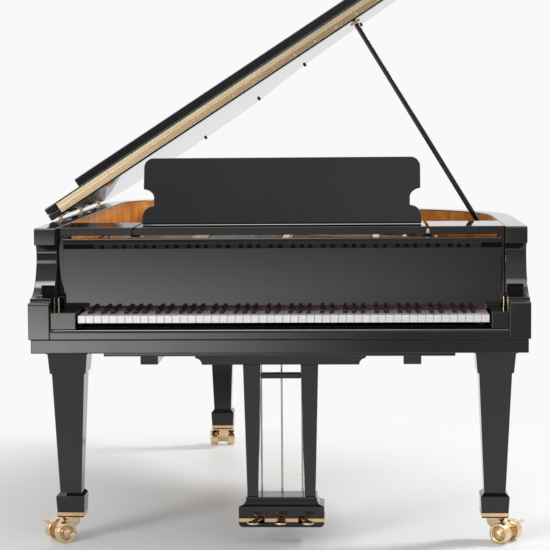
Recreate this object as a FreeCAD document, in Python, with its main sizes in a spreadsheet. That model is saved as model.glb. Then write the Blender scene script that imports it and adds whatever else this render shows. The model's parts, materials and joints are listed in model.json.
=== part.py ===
import FreeCAD, Part
import math
import os
import re

from FreeCAD import Placement, Rotation, Vector

# A grand piano with its lid up on the prop, in millimetres.
# X runs from bass to treble, Y from the key fronts to the tail, Z up from the floor.

SIZES = (
    ("case_width", 1492, "over the outer faces of the two arms"),
    ("treble_straight", 700, "where the treble side starts to bend"),
    ("bend_radius", 560, "outer radius of the bend"),
    ("bend_turn", 60, "degrees turned in the bend"),
    ("hollow_radius", 900, "outer radius of the hollow behind the bend"),
    ("hollow_turn", 42, "degrees turned back in the hollow"),
    ("tail_straight", 140, "straight stretch before the tail"),
    ("rim_wall", 64, "thickness of the rim and of the arms"),
    ("rim_low", 650, "underside of the rim above the floor"),
    ("rim_top", 975, "top edge of the rim above the floor"),
    ("inner_wall", 42, "thickness of the inner rim"),
    ("arm_front", 20, "arms ahead of the key fronts"),
    ("arm_back", 330, "where the arms join the rim"),
    ("arm_block_high", 110, "height of the block at an arm's foot"),
    ("arm_scoop", 130, "radius of the arm's scooped front"),
    ("arm_step", 40, "top of that block before the scoop starts"),
    ("arm_bead", 10, "step at the foot of the scoop"),
    ("arm_round", 8, "rounding of an arm's front edges"),
    ("arm_cap_high", 52, "height of the flat front of an arm's cap"),
    ("arm_cap_front", 110, "front of an arm's cap behind the key fronts"),
    ("bed_front", 14, "front of the keybed ahead of the key fronts"),
    ("bed_back", 440, "back of the keybed"),
    ("bed_thick", 42, "thickness of the keybed"),
    ("bed_inset", 6, "keybed ends inside the arms' outer faces"),
    ("slip_front", 18, "keyslip front ahead of the key fronts"),
    ("slip_thick", 14, "thickness of the keyslip"),
    ("slip_high", 30, "height of the keyslip"),
    ("block_top", 729, "top of the key blocks"),
    ("block_back", 140, "back of the key blocks"),
    ("cheek_deep", 18, "front to back of the cheeks beside the fallboard"),
    ("cheek_high", 218, "height of those cheeks above the key blocks"),
    ("cheek_gap", 2, "those cheeks clear of the fallboard"),
    ("white_pitch", 23.55, "width of a white key with its gap"),
    ("key_gap", 1.0, "gap between neighbouring keys"),
    ("keys_centre", 13, "middle of the keyboard from the middle of the case"),
    ("key_top", 720, "top of the white keys above the floor"),
    ("key_thick", 22, "height of a key"),
    ("key_length", 420, "a key from its front to its back end"),
    ("head_length", 50, "wide front part of a white key"),
    ("sharp_wide", 10.5, "width of a black key"),
    ("sharp_high", 12, "a black key above the white ones"),
    ("sharp_back", 146, "back of the raised part of a black key"),
    ("balance_line", 230, "where the keys balance, behind their fronts"),
    ("front_drop", 14, "front rail below the keys, for their dip"),
    ("balance_gap", 0.9, "keys above the balance rail"),
    ("rail_front", 29, "front of the key frame behind the key fronts"),
    ("rail_end", 24, "rails beyond the last keys"),
    ("rail_thick", 30, "width of a key frame rail"),
    ("frame_gap", 0.2, "key frame above the keybed"),
    ("seat_gap", 0.3, "clearance where one piece rests on another"),
    ("end_gap", 6, "clearance at the ends of the keyboard"),
    ("board_thick", 20, "thickness of the fallboard"),
    ("board_front", 150, "face of the fallboard behind the key fronts"),
    ("board_low", 723, "lower edge of the fallboard"),
    ("board_top", 940, "upper edge of the fallboard"),
    ("board_lip", 9.5, "rail along the fallboard's upper edge ahead of its face"),
    ("board_rail", 15, "height of that rail"),
    ("board_slope", 16, "height of the slope below that rail"),
    ("side_gap", 20, "fallboard's bass end inside the arm"),
    ("treble_gap", 11, "fallboard's treble end inside the arm"),
    ("board_pivot_back", 10, "fallboard pivots behind its face"),
    ("board_pivot_high", 37, "fallboard pivots above its lower edge"),
    ("board_pin", 4, "radius of a fallboard pivot pin"),
    ("shelf_thick", 24, "thickness of the music shelf"),
    ("shelf_drop", 2, "shelf top below the rim top"),
    ("shelf_front", 165, "front edge of the shelf behind the key fronts"),
    ("shelf_back", 430, "back edge of the shelf"),
    ("shelf_half", 445, "half width of the sliding shelf"),
    ("shelf_gap", 9, "gap beside the sliding shelf"),
    ("runner_front", 60, "front of that gap's ledge behind the shelf's edge"),
    ("runner_wide", 28, "ledge under each edge of the sliding shelf"),
    ("runner_thick", 9, "thickness of that ledge"),
    ("desk_line", 292, "foot of the music desk behind the key fronts"),
    ("desk_thick", 15, "thickness of the music desk"),
    ("desk_high", 213, "height of the music desk along its slope"),
    ("desk_half", 432, "half width of the desk's upper part"),
    ("desk_waist_half", 399, "half width of the desk's waist"),
    ("desk_foot_half", 434, "half width of the desk's foot"),
    ("desk_toe", 22, "height of the desk's foot below its waist"),
    ("desk_round", 30, "radius of the desk's upper corners"),
    ("desk_lean", 18, "degrees the desk leans back"),
    ("board_level", 840, "underside of the soundboard"),
    ("soundboard_thick", 8, "thickness of the soundboard"),
    ("plate_skirt", 20, "edge of the iron plate standing on the soundboard"),
    ("plate_thick", 12, "thickness of the iron plate"),
    ("plate_margin", 6, "iron plate inside the rim"),
    ("plate_band", 82, "width of the plate along the rim"),
    ("plate_front", 205, "front edge of the plate"),
    ("strike_line", 380, "front of the opening that the hammers strike through"),
    ("strut_wide", 20, "width of a plate strut"),
    ("strut_high", 26, "height of a plate strut"),
    ("strut_lift", 6, "strut above the plate"),
    ("pinblock_thick", 48, "thickness of the pinblock"),
    ("pin_side", 6.6, "side of a tuning pin's square head"),
    ("pin_high", 22, "tuning pin above the plate"),
    ("string_side", 1.2, "thickness of a string"),
    ("string_lift", 1.0, "strings above the plate"),
    ("bridge_wide", 30, "width of the long bridge"),
    ("bridge_inset", 236, "long bridge inside the outer face of the rim"),
    ("bass_bridge_line", 1560, "bass bridge behind the key fronts"),
    ("string_margin", 17, "strings beside a strut"),
    ("string_treble", 94, "last treble string inside the plate's opening"),
    ("string_bass", 34, "last bass string inside the plate's opening"),
    ("damper_line", 425, "dampers behind the key fronts"),
    ("damper_long", 30, "length of a damper"),
    ("damper_wide", 8, "width of a damper"),
    ("damper_high", 17, "height of a damper"),
    ("hammer_pivot", 270, "hammer pivots behind the key fronts"),
    ("hammer_level", 805, "hammer pivots above the floor"),
    ("hammer_line", 398, "hammer heads behind the key fronts"),
    ("hammer_high", 70, "hammer head above its shank"),
    ("hammer_head", 16, "length of a hammer head"),
    ("hammer_shank", 7, "thickness of a hammer shank"),
    ("hammer_wide", 9, "width of a hammer"),
    ("hammer_drop", 20, "degrees a hammer rests below its strike"),
    ("hammer_rail_high", 20, "height of the rail that carries the hammers"),
    ("hammer_butt", 6.5, "hammer ahead of its pivot"),
    ("hammer_play", 1.5, "room for a turning hammer butt"),
    ("belly_thick", 40, "thickness of the belly rail"),
    ("leg_side", 92, "front legs inside the arms' outer faces"),
    ("leg_line", 192, "front legs behind the key fronts"),
    ("rear_leg_side", 449, "rear leg inside the bass side's outer face"),
    ("rear_leg_line", 289.6, "rear leg ahead of the tail"),
    ("leg_top_wide", 100, "side of a leg's shaft at its top"),
    ("leg_low_wide", 66, "side of a leg's shaft at its foot"),
    ("leg_cap_wide", 122, "side of a leg's cap"),
    ("leg_cap_high", 62, "height of a leg's cap"),
    ("leg_plate_wide", 132, "side of the plate on top of a leg"),
    ("leg_plate_high", 20, "height of that plate"),
    ("foot_wide", 89, "side of a leg's foot at its top"),
    ("foot_low_wide", 81, "side of a leg's foot at its bottom"),
    ("foot_high", 66, "height of a leg's foot"),
    ("foot_cove", 12, "height of the slope from shaft to foot"),
    ("foot_low", 76, "bottom of a leg's foot above the floor"),
    ("band_high", 11, "height of a brass band"),
    ("band_lift", 5, "brass band above the bottom of the foot"),
    ("band_proud", 1.2, "thickness of a brass band"),
    ("wheel_radius", 32, "radius of a caster wheel"),
    ("wheel_thick", 28, "thickness of a caster wheel"),
    ("wheel_gap", 37, "space between the twin wheels"),
    ("wheel_play", 0.5, "clearance beside a wheel"),
    ("axle_radius", 6, "radius of a caster axle"),
    ("axle_play", 0.06, "radial clearance on the axle"),
    ("caster_trail", 42, "axle behind the swivel axis"),
    ("caster_turn", 55, "degrees a front caster is turned outwards"),
    ("rear_caster_turn", 190, "degrees the rear caster is turned"),
    ("caster_plate", 4, "thickness of a caster's top plate and of its brake lever"),
    ("brake_rise", 28, "brake lever's tip above its foot"),
    ("brake_reach", 34, "brake lever's tip behind its foot"),
    ("swivel_radius", 30, "radius of a caster's top plate"),
    ("lyre_half", 88, "lyre posts from the middle of the case"),
    ("lyre_front", 118, "front of the lyre box behind the key fronts"),
    ("lyre_depth", 112, "depth of the lyre box"),
    ("lyre_low", 54, "underside of the lyre box"),
    ("lyre_high", 64, "height of the lyre box"),
    ("lyre_wide", 262, "width of the lyre box"),
    ("lyre_crown", 28, "height of the moulding on the lyre box"),
    ("lyre_crown_deep", 92, "depth of that moulding at its top"),
    ("lyre_crown_wide", 218, "width of that moulding at its top"),
    ("post_top_wide", 54, "width of a lyre post at its top"),
    ("post_low_wide", 33, "width of a lyre post at its bottom"),
    ("post_depth", 52, "depth of a lyre post"),
    ("lyre_board_thick", 40, "thickness of the board that carries the lyre"),
    ("lyre_board_wide", 520, "width of that board at its top"),
    ("underboard_thick", 12, "board under the keybed"),
    ("under_front", 12, "front of the boards under the keybed"),
    ("under_back", 430, "back of the boards under the keybed"),
    ("under_wide", 1050, "width of the board under the keybed"),
    ("beam_front", 125, "front of the beams under the keybed"),
    ("beam_side", 401, "beams under the keybed from the middle of the case"),
    ("beam_wide", 54, "width of such a beam"),
    ("beam_high", 40, "height of such a beam"),
    ("lyre_bar_drop", 29, "bar between the lyre posts below that board"),
    ("lyre_bar_high", 17, "height of that bar"),
    ("lyre_cove", 20, "cove at each end of the lyre board"),
    ("lyre_board_deep", 75, "depth of the lyre board"),
    ("brace_side", 297, "outer beams under the soundboard from the middle of the case"),
    ("brace_wide", 60, "width of a beam under the soundboard"),
    ("brace_high", 80, "height of a beam under the soundboard"),
    ("pedal_pitch", 63, "distance between pedals"),
    ("pedal_wide", 22, "width of a pedal"),
    ("pedal_thick", 10, "thickness of a pedal"),
    ("pedal_reach", 88, "pedal ahead of the lyre box"),
    ("pedal_pivot", 62, "pedal pivot behind the front of the lyre box"),
    ("pedal_tail", 34, "pedal behind its pivot"),
    ("pedal_lift", 22, "underside of a pedal above the underside of the lyre box"),
    ("pedal_splay", 20, "outer pedal tips turned outwards"),
    ("slot_side", 4, "clearance beside a pedal in its slot"),
    ("slot_under", 10, "clearance below a pedal in its slot"),
    ("slot_over", 6, "clearance above a pedal in its slot"),
    ("rod_radius", 3.2, "radius of a pedal rod"),
    ("rod_play", 0.5, "clearance round a pedal rod"),
    ("pin_radius", 4, "radius of a pedal's pivot pin"),
    ("lid_thick", 22, "thickness of the lid"),
    ("lid_overhang", 10, "lid beyond the outer face of the rim"),
    ("lid_gap", 8, "lid above the rim when it is shut"),
    ("lid_joint", 500, "where the front flap joins the main lid"),
    ("lid_front", 95, "front edge of the flap when it is unfolded"),
    ("lip_high", 47, "height of the lip along the flap's front edge"),
    ("lip_thick", 20, "thickness of that lip"),
    ("lip_set", 10, "lip behind the flap's front edge"),
    ("lip_gap", 8, "lip inside the arms"),
    ("lid_angle", 33, "degrees the lid stands open"),
    ("hinge_inset", 6, "spine hinge inside the outer face of the rim"),
    ("hinge_radius", 3.6, "radius of a spine hinge"),
    ("leaf_thick", 1.2, "thickness of a hinge leaf"),
    ("leaf_high", 16.5, "height of the long hinge's leaves"),
    ("leaf_inset", 45, "long hinge inside the lid's ends"),
    ("barrel_radius", 1.8, "radius of the long hinge"),
    ("prop_side", 45, "prop foot inside the rim's inner face"),
    ("prop_line", 705, "prop foot behind the key fronts"),
    ("prop_drop", 22, "prop pivot below the rim top"),
    ("prop_angle", 121.5, "degrees of the prop from the bass-to-treble line"),
    ("prop_wide", 17, "width of the prop"),
    ("prop_thick", 12, "thickness of the prop"),
    ("prop_tip_gap", 0.9, "prop tip below its cup"),
    ("cup_thick", 4, "thickness of the cup on the lid"),
)
ALIASES = {alias for alias, number, note in SIZES}

WHITE_KEYS = 52
LOWEST_WHITE = 5
SHARPS_AFTER = {0: -0.13, 1: 0.13, 3: -0.17, 4: 0.0, 5: 0.17}
FINGER_KEYS = ("key_c", "key_d", "key_e", "key_f", "key_g")
FINGER_SHARPS = ("key_c_sharp", "key_d_sharp", None, "key_f_sharp", None)
FIRST_FINGER = 23
BAR_SIDE_COUNT = 12
WHEEL_SIDE_COUNT = 32

doc = FreeCAD.newDocument("grand_piano")
sheet = doc.addObject("Spreadsheet::Sheet", "Sizes")
for row, (alias, number, note) in enumerate(SIZES, 1):
    sheet.set("A%d" % row, note)
    sheet.set("B%d" % row, str(number))
    sheet.setAlias("B%d" % row, alias)
doc.recompute()
pieces = []


def size(alias):
    """A driving dimension, as the sheet holds it."""
    return float(sheet.get(alias))


def named_cell(match):
    word = match.group(0)
    return "Sizes." + word if word in ALIASES else word


def bind(item, path, formula):
    """Tie one property of a piece to a formula written in the sheet's words."""
    item.setExpression(path, re.sub(r"[a-z][a-z_]+", named_cell, formula))


def place(item, corner):
    for axis, formula in zip("xyz", corner):
        bind(item, "Placement.Base." + axis, formula)
    return item


def block(label, corner, sides):
    """A square piece: its lowest corner and its three sides, as formulas."""
    item = doc.addObject("Part::Box", label)
    for side, formula in zip(("Length", "Width", "Height"), sides):
        bind(item, side, formula)
    return place(item, corner)


def padded(label, plane, edges, length, corner=()):
    """A profile drawn on one of a body's planes and padded along that plane's normal."""
    body = doc.addObject("PartDesign::Body", label)
    sketch = body.newObject("Sketcher::SketchObject", label + "_profile")
    support = [flat for flat in body.Origin.OriginFeatures if flat.Role == plane][0]
    sketch.AttachmentSupport = (support, [""])
    sketch.MapMode = "FlatFace"
    for edge in edges:
        sketch.addGeometry(edge, False)
    pad = body.newObject("PartDesign::Pad", label + "_pad")
    pad.Profile = sketch
    bind(pad, "Length", length)
    return place(body, corner)


def solid(label, shape, spot=None):
    """A piece whose form needs its own surfaces, at its own place."""
    item = doc.addObject("Part::Feature", label)
    item.Shape = shape
    if spot is not None:
        item.Placement = spot
    return item


def group(label, items):
    """Like pieces that share a node."""
    item = doc.addObject("Part::Compound", label)
    item.Links = items
    return item


def keep(item):
    """Count a piece among the ones that are written out."""
    pieces.append(item)
    return item


def outline(start, *steps):
    """Lines and arcs end to end, closed: a step is a point, or an arc's middle and end."""
    here = Vector(start[0], start[1], 0)
    first = here
    edges = []
    for step in steps + (start,):
        if isinstance(step[0], tuple):
            middle, end = (Vector(point[0], point[1], 0) for point in step)
            edges.append(Part.Arc(here, middle, end))
        else:
            end = Vector(step[0], step[1], 0)
            if end.distanceToPoint(here) > 1e-6:
                edges.append(Part.LineSegment(here, end))
        here = end
    assert here.distanceToPoint(first) < 1e-6
    return edges


def box(low, high):
    sides = [top - bottom for bottom, top in zip(low, high)]
    return Part.makeBox(sides[0], sides[1], sides[2], Vector(*low))


def prism(points, vector):
    """A flat polygon pushed along a vector."""
    corners = [Vector(*point) for point in points]
    return Part.Face(Part.makePolygon(corners + corners[:1])).extrude(Vector(*vector))


def frustum(centre, low, high):
    """A square taper: (side in X, side in Y, height) at its bottom and at its top."""
    rings = []
    for wide, deep, level in (low, high):
        rings.append([Vector(centre[0] + x * wide / 2, centre[1] + y * deep / 2, level)
                      for x, y in ((-1, -1), (1, -1), (1, 1), (-1, 1))])
    bottom, top = rings
    faces = [bottom[::-1], top]
    faces += [[bottom[n - 1], bottom[n], top[n], top[n - 1]] for n in range(len(bottom))]
    return Part.Solid(Part.Shell([Part.Face(Part.makePolygon(face + face[:1])) for face in faces]))


def rod(start, end, radius):
    """A round bar between two points."""
    line = Vector(*end) - Vector(*start)
    return Part.makeCylinder(radius, line.Length, Vector(*start), line)


def faceted_rod(start, end, radius, sides=BAR_SIDE_COUNT):
    """A bar between two points along an axis, with a few flat sides round it."""
    start, line = Vector(*start), Vector(*end) - Vector(*start)
    turn = Rotation(Vector(0, 0, 1), line)
    ring = [start + turn.multVec(Vector(radius * math.cos(angle), radius * math.sin(angle), 0))
            for angle in (2 * math.pi * side / sides for side in range(sides))]
    return prism([tuple(corner) for corner in ring], tuple(line))


half = size("case_width") / 2
inside = half - size("rim_wall")
rim_low, rim_top = size("rim_low"), size("rim_top")
seat = size("seat_gap")


# The case's plan

bend_angle = math.radians(size("bend_turn"))
tail_angle = math.radians(size("bend_turn") - size("hollow_turn"))
bend_way = Vector(math.cos(bend_angle), math.sin(bend_angle), 0)
tail_way = Vector(math.cos(tail_angle), math.sin(tail_angle), 0)
along_tail = Vector(-math.sin(tail_angle), math.cos(tail_angle), 0)
bend_centre = Vector(half - size("bend_radius"), size("treble_straight"), 0)
hollow_centre = bend_centre + bend_way * (size("bend_radius") + size("hollow_radius"))
tail_start = hollow_centre - tail_way * size("hollow_radius") + along_tail * size("tail_straight")
tail_radius = (tail_start.x + half) / (1 + tail_way.x)
tail_centre = tail_start - tail_way * tail_radius


def turned(centre, radius, angle):
    return centre + Vector(math.cos(angle), math.sin(angle), 0) * radius


def sweep(centre, radius, start, end):
    """An arc about a centre from one angle to another."""
    angles = (start, (start + end) / 2, end)
    return Part.Arc(*(turned(centre, radius, angle) for angle in angles))


def bend_arcs(inset):
    """The bend and the hollow of the treble side, set in from the outer face."""
    return [
        sweep(bend_centre, size("bend_radius") - inset, 0, bend_angle),
        sweep(hollow_centre, size("hollow_radius") + inset, bend_angle + math.pi, tail_angle + math.pi),
    ]


def rim_line(inset, front):
    """The case's plan line from the treble front round the tail to the bass front."""
    treble = Vector(half - inset, front, 0)
    bass = Vector(inset - half, front, 0)
    bend, hollow = bend_arcs(inset)
    tail = sweep(tail_centre, tail_radius - inset, tail_angle, math.pi)
    return [
        Part.LineSegment(treble, bend.StartPoint), bend, hollow,
        Part.LineSegment(hollow.EndPoint, tail.StartPoint), tail,
        Part.LineSegment(tail.EndPoint, bass),
    ]


def rim_ring(outer, inner, front):
    """The closed line between two insets, open towards the keyboard."""
    lines = rim_line(outer, front) + rim_line(inner, front)
    for side in (1, -1):
        lines.append(Part.LineSegment(
            Vector(side * (half - outer), front, 0), Vector(side * (half - inner), front, 0)))
    return lines


def rim_field(inset, front):
    """The closed line of everything inside an inset, behind a straight front."""
    return rim_line(inset, front) + [
        Part.LineSegment(Vector(inset - half, front, 0), Vector(half - inset, front, 0))]


def reach(x, inset):
    """How far back the plan line goes on the treble and tail side at one X."""
    bend_radius = size("bend_radius") - inset
    hollow_radius = size("hollow_radius") + inset
    if x >= bend_centre.x + bend_radius * bend_way.x:
        return bend_centre.y + math.sqrt(bend_radius ** 2 - (x - bend_centre.x) ** 2)
    if x >= hollow_centre.x - hollow_radius * tail_way.x:
        return hollow_centre.y - math.sqrt(hollow_radius ** 2 - (x - hollow_centre.x) ** 2)
    corner = tail_centre + tail_way * (tail_radius - inset)
    if x >= corner.x:
        return corner.y - (x - corner.x) * along_tail.y / -along_tail.x
    return tail_centre.y + math.sqrt((tail_radius - inset) ** 2 - (x - tail_centre.x) ** 2)


def filled(lines, height):
    """A closed line of the plan, raised into a solid."""
    wire = Part.Wire(Part.__sortEdges__([line.toShape() for line in lines]))
    return Part.Face(wire).extrude(Vector(0, 0, height))


# The rim, the arms and the keybed

def arm_profile():
    """Side view of an arm: a block, a scooped front and a cap."""
    front, back = -size("arm_front"), size("arm_back")
    block_top = rim_low + size("arm_block_high")
    scoop, soft = size("arm_scoop"), size("arm_round")
    scoop_front = front + size("arm_step")
    scoop_low = block_top + size("arm_bead")
    waist, waist_level = scoop_front + scoop, scoop_low + scoop
    cap, cap_low = size("arm_cap_front"), rim_top - size("arm_cap_high")
    corner = 1 - math.sqrt(0.5)
    return outline(
        (front, rim_low),
        (front, block_top - soft),
        ((front + soft * corner, block_top - soft * corner), (front + soft, block_top)),
        (scoop_front, block_top),
        (scoop_front, scoop_low),
        ((waist - scoop * corner, scoop_low + scoop * corner), (waist, waist_level)),
        ((waist - 0.16 * (waist - cap), waist_level + 0.62 * (cap_low - waist_level)), (cap, cap_low)),
        (cap, rim_top - soft),
        ((cap + soft * corner, rim_top - soft * corner), (cap + soft, rim_top)),
        (back, rim_top),
        (back, rim_low))


belly_back = size("bed_back") + size("belly_thick")
inner_inset = size("rim_wall") + size("inner_wall")
keep(padded("outer_rim", "XY_Plane", rim_ring(0, size("rim_wall"), size("arm_back")),
            "rim_top - rim_low", ("0", "0", "rim_low")))
keep(padded("inner_rim", "XY_Plane", rim_ring(size("rim_wall"), inner_inset, belly_back),
            "board_level - rim_low", ("0", "0", "rim_low")))
keep(padded("left_arm", "YZ_Plane", arm_profile(), "rim_wall", ("-case_width / 2", "0", "0")))
keep(padded("right_arm", "YZ_Plane", arm_profile(), "rim_wall", ("case_width / 2 - rim_wall", "0", "0")))
keep(block("keybed", ("bed_inset - case_width / 2", "-bed_front", "rim_low - bed_thick"),
           ("case_width - 2 * bed_inset", "bed_back + bed_front", "bed_thick")))
keep(block("keyslip", ("rim_wall - case_width / 2", "-slip_front", "rim_low"),
           ("case_width - 2 * rim_wall", "slip_thick", "slip_high")))
keys_half = "%d * white_pitch" % (WHITE_KEYS / 2)
cheek_line, cheek_room = "board_front + board_thick + cheek_gap", ("cheek_deep", "cheek_high")
block_room = ("block_back + slip_front - slip_thick", "block_top - rim_low")
keep(group("key_blocks", [
    block("bass_key_block", ("rim_wall - case_width / 2", "slip_thick - slip_front", "rim_low"),
          ("case_width / 2 - rim_wall + keys_centre - end_gap - " + keys_half,) + block_room),
    block("treble_key_block", ("keys_centre + end_gap + " + keys_half, "slip_thick - slip_front", "rim_low"),
          ("case_width / 2 - rim_wall - keys_centre - end_gap - " + keys_half,) + block_room),
    block("bass_cheek", ("rim_wall - case_width / 2", cheek_line, "block_top"),
          ("side_gap - cheek_gap",) + cheek_room),
    block("treble_cheek", ("case_width / 2 - rim_wall - treble_gap + cheek_gap", cheek_line, "block_top"),
          ("treble_gap - cheek_gap",) + cheek_room)]))


# The boards under the keybed

def lyre_board_profile():
    """Front view of the lyre board: square above, a cove at each lower end."""
    wide, deep, cove = size("lyre_board_wide") / 2, size("lyre_board_thick"), size("lyre_cove")
    middle = cove * math.sqrt(0.5)
    return outline(
        (-wide, 0), (-wide, cove - deep),
        ((middle - wide, middle - deep), (cove - wide, -deep)),
        (wide - cove, -deep),
        ((wide - middle, middle - deep), (wide, cove - deep)),
        (wide, 0))


under_top = "rim_low - bed_thick"
underboard = block("underboard", ("-under_wide / 2", "under_front", under_top + " - underboard_thick"),
                   ("under_wide", "under_back - under_front", "underboard_thick"))
beams = [
    block(name, (side + "beam_side - beam_wide / 2", "beam_front",
                 under_top + " - underboard_thick - beam_high"),
          ("beam_wide", "under_back - beam_front - rail_thick / 2", "beam_high"))
    for name, side in (("bass_beam", "-"), ("treble_beam", ""))]
lyre_board = padded("lyre_board", "XZ_Plane", lyre_board_profile(), "lyre_board_deep",
                    ("0", "lyre_front + lyre_board_deep", under_top + " - underboard_thick"))
keep(group("underbed_frame", [underboard] + beams + [lyre_board]))

belly_rail = block("belly_rail", ("rim_wall - case_width / 2", "bed_back", "rim_low - bed_thick"),
                   ("case_width - 2 * rim_wall", "belly_thick", "board_level - rim_low + bed_thick"))
braces = []
for share in (-1, -1 / 3, 1 / 3, 1):
    x = share * size("brace_side")
    edges = (x - size("brace_wide") / 2, x + size("brace_wide") / 2)
    far = min(reach(edge, inner_inset) for edge in edges) - seat
    braces.append(solid("brace_%d" % len(braces), box(
        (edges[0], belly_back, rim_low), (edges[1], far, rim_low + size("brace_high")))))
keep(group("back_frame", [belly_rail] + braces))


# The soundboard, the bridges, the iron plate and what it carries

keep(padded("soundboard", "XY_Plane", rim_field(size("rim_wall") + seat, size("bed_back")),
            "soundboard_thick", ("0", "0", "board_level")))
sound_top = size("board_level") + size("soundboard_thick")
plate_low = sound_top + size("plate_skirt")
plate_top = plate_low + size("plate_thick")
plate_inset = size("rim_wall") + size("plate_margin")
window_inset = plate_inset + size("plate_band")
string_level = plate_top + size("string_lift")
skirt_wide = size("plate_band") / 2
window_half = half - window_inset
STRUTS = (-0.5, 0.0, 0.5)
PANEL_STRING_COUNTS = (20, 24, 22, 22)


def cast_plate():
    """A rim band and a front web, with struts that bridge the opening between them."""
    web = filled(rim_field(plate_inset, size("plate_front")), size("plate_thick"))
    web = web.cut(filled(rim_field(window_inset, size("strike_line")), size("plate_thick")))
    web.translate(Vector(0, 0, plate_low))
    skirt = filled(rim_ring(plate_inset, plate_inset + skirt_wide, belly_back), size("plate_skirt"))
    skirt.translate(Vector(0, 0, sound_top))
    bars = []
    strut, lift = size("strut_wide") / 2, size("strut_lift")
    for share in STRUTS:
        x = share * window_half
        front, far = size("strike_line") - skirt_wide, reach(x, window_inset) + skirt_wide
        bars.append(box((x - strut, front, plate_top + lift),
                        (x + strut, far, plate_top + lift + size("strut_high"))))
        bars.append(box((x - strut, front, plate_top), (x + strut, front + skirt_wide, plate_top + lift)))
        bars.append(box((x - strut, far - skirt_wide * 0.7, plate_top), (x + strut, far, plate_top + lift)))
    return web.multiFuse([skirt] + bars).removeSplitter()


def string_places():
    """The X of every note's string, panel by panel between the struts."""
    walls = [string_left] + [share * window_half for share in STRUTS] + [window_half - size("string_treble")]
    places = []
    for count, left, right in zip(PANEL_STRING_COUNTS, walls, walls[1:]):
        low = left + (size("string_margin") if left != walls[0] else 0)
        high = right - (size("string_margin") if right != walls[-1] else 0)
        places += [low + (high - low) * number / (count - 1) for number in range(count)]
    return places


string_left = size("string_bass") - window_half
string_x = string_places()
pin_rows = [size("plate_front") + size("rail_thick") * (0.8 + row) for row in range(5)]
keep(solid("cast_plate", cast_plate()))
keep(block("pinblock", ("rim_wall - case_width / 2", "plate_front",
                        "board_level + soundboard_thick + plate_skirt - pinblock_thick"),
           ("case_width - 2 * rim_wall", "strike_line - plate_front - rod_radius", "pinblock_thick")))

bridge_high = string_level - seat - sound_top
bridge_back = size("bridge_inset") - size("bridge_wide")
bridge_lines = bend_arcs(size("bridge_inset")) + bend_arcs(bridge_back)
for end in ("StartPoint", "EndPoint"):
    arcs = (0, 2) if end == "StartPoint" else (1, 3)
    bridge_lines.append(Part.LineSegment(*(getattr(bridge_lines[arc], end) for arc in arcs)))
long_bridge = filled(bridge_lines, bridge_high)
long_bridge.translate(Vector(0, 0, sound_top))
bass_end = hollow_centre.x - (size("hollow_radius") + bridge_back) * tail_way.x - size("bridge_wide")
bass_bridge = box((string_left - size("string_margin"), size("bass_bridge_line"), sound_top),
                  (bass_end, size("bass_bridge_line") + size("bridge_wide"), sound_top + bridge_high))
keep(group("bridges", [solid("long_bridge", long_bridge), solid("bass_bridge", bass_bridge)]))

pins, strings, dampers = [], [], []
pin, wire = size("pin_side") / 2, size("string_side") / 2
damper_low = string_level + size("string_side") + seat
DAMPED_NOTE_COUNT = 66
for number, x in enumerate(string_x):
    y = pin_rows[number % len(pin_rows)]
    pins.append(box((x - pin, y - pin, plate_top), (x + pin, y + pin, plate_top + size("pin_high"))))
    far = reach(x, window_inset - skirt_wide)
    strings.append(box((x - wire, y + pin, string_level), (x + wire, far, string_level + 2 * wire)))
    if number < DAMPED_NOTE_COUNT:
        side = size("damper_wide") / 2
        dampers.append(box((x - side, size("damper_line"), damper_low),
                           (x + side, size("damper_line") + size("damper_long"),
                            damper_low + size("damper_high"))))
keep(solid("tuning_pins", Part.makeCompound(pins)))
keep(solid("strings", Part.makeCompound(strings)))
keep(solid("dampers", Part.makeCompound(dampers)))


# The keys, the frame under them and the hammers

key_low = size("key_top") - size("key_thick")
pitch = size("white_pitch")
keys_left = size("keys_centre") - WHITE_KEYS / 2 * pitch


def sharp_centre(white):
    """The middle of the black key that follows a white one, or None."""
    letter = (LOWEST_WHITE + white) % 7
    if white < 0 or white == WHITE_KEYS - 1 or letter not in SHARPS_AFTER:
        return None
    return keys_left + (white + 1 + SHARPS_AFTER[letter]) * pitch


def white_key(white):
    """A wide head, and a tail that leaves room for the black keys beside it."""
    gap, head, length = size("key_gap"), size("head_length"), size("key_length")
    left, right = keys_left + white * pitch + gap / 2, keys_left + (white + 1) * pitch - gap / 2
    room = size("sharp_wide") / 2 + gap
    before, after = sharp_centre(white - 1), sharp_centre(white)
    tail_left = left if before is None else before + room
    tail_right = right if after is None else after - room
    corners = [(left, 0), (right, 0), (right, head), (tail_right, head), (tail_right, length),
               (tail_left, length), (tail_left, head), (left, head)]
    corners = [corner for number, corner in enumerate(corners) if corner != corners[number - 1]]
    if before is None:
        corners.remove((left, head))
    if after is None:
        corners.remove((right, head))
    return prism([corner + (key_low,) for corner in corners], (0, 0, size("key_thick")))


def black_key(white):
    """A raised, sloped front on a low stick."""
    x, front = sharp_centre(white) - size("sharp_wide") / 2, size("head_length") + size("key_gap")
    top, rise = size("key_top"), size("sharp_high")
    corners = [(front, key_low), (front, top), (front + rise / 2, top + rise),
               (size("sharp_back"), top + rise), (size("sharp_back"), top - size("key_gap")),
               (size("key_length"), top - size("key_gap")), (size("key_length"), key_low)]
    return prism([(x,) + corner for corner in corners], (size("sharp_wide"), 0, 0))


def hammer(x):
    """A shank with a felt head, hung at rest below the strings."""
    pivot = Vector(x, size("hammer_pivot"), size("hammer_level"))
    side, shank, head = size("hammer_wide") / 2, size("hammer_shank") / 2, size("hammer_head") / 2
    butt, line, tip = pivot.y - size("hammer_butt"), size("hammer_line"), pivot.z + size("hammer_high")
    corners = [(butt, pivot.z - shank), (line + head, pivot.z - shank), (line, tip),
               (line - head, pivot.z + shank), (butt, pivot.z + shank)]
    shape = prism([(x - side,) + corner for corner in corners], (2 * side, 0, 0))
    shape.rotate(pivot, Vector(1, 0, 0), -size("hammer_drop"))
    return shape


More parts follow.
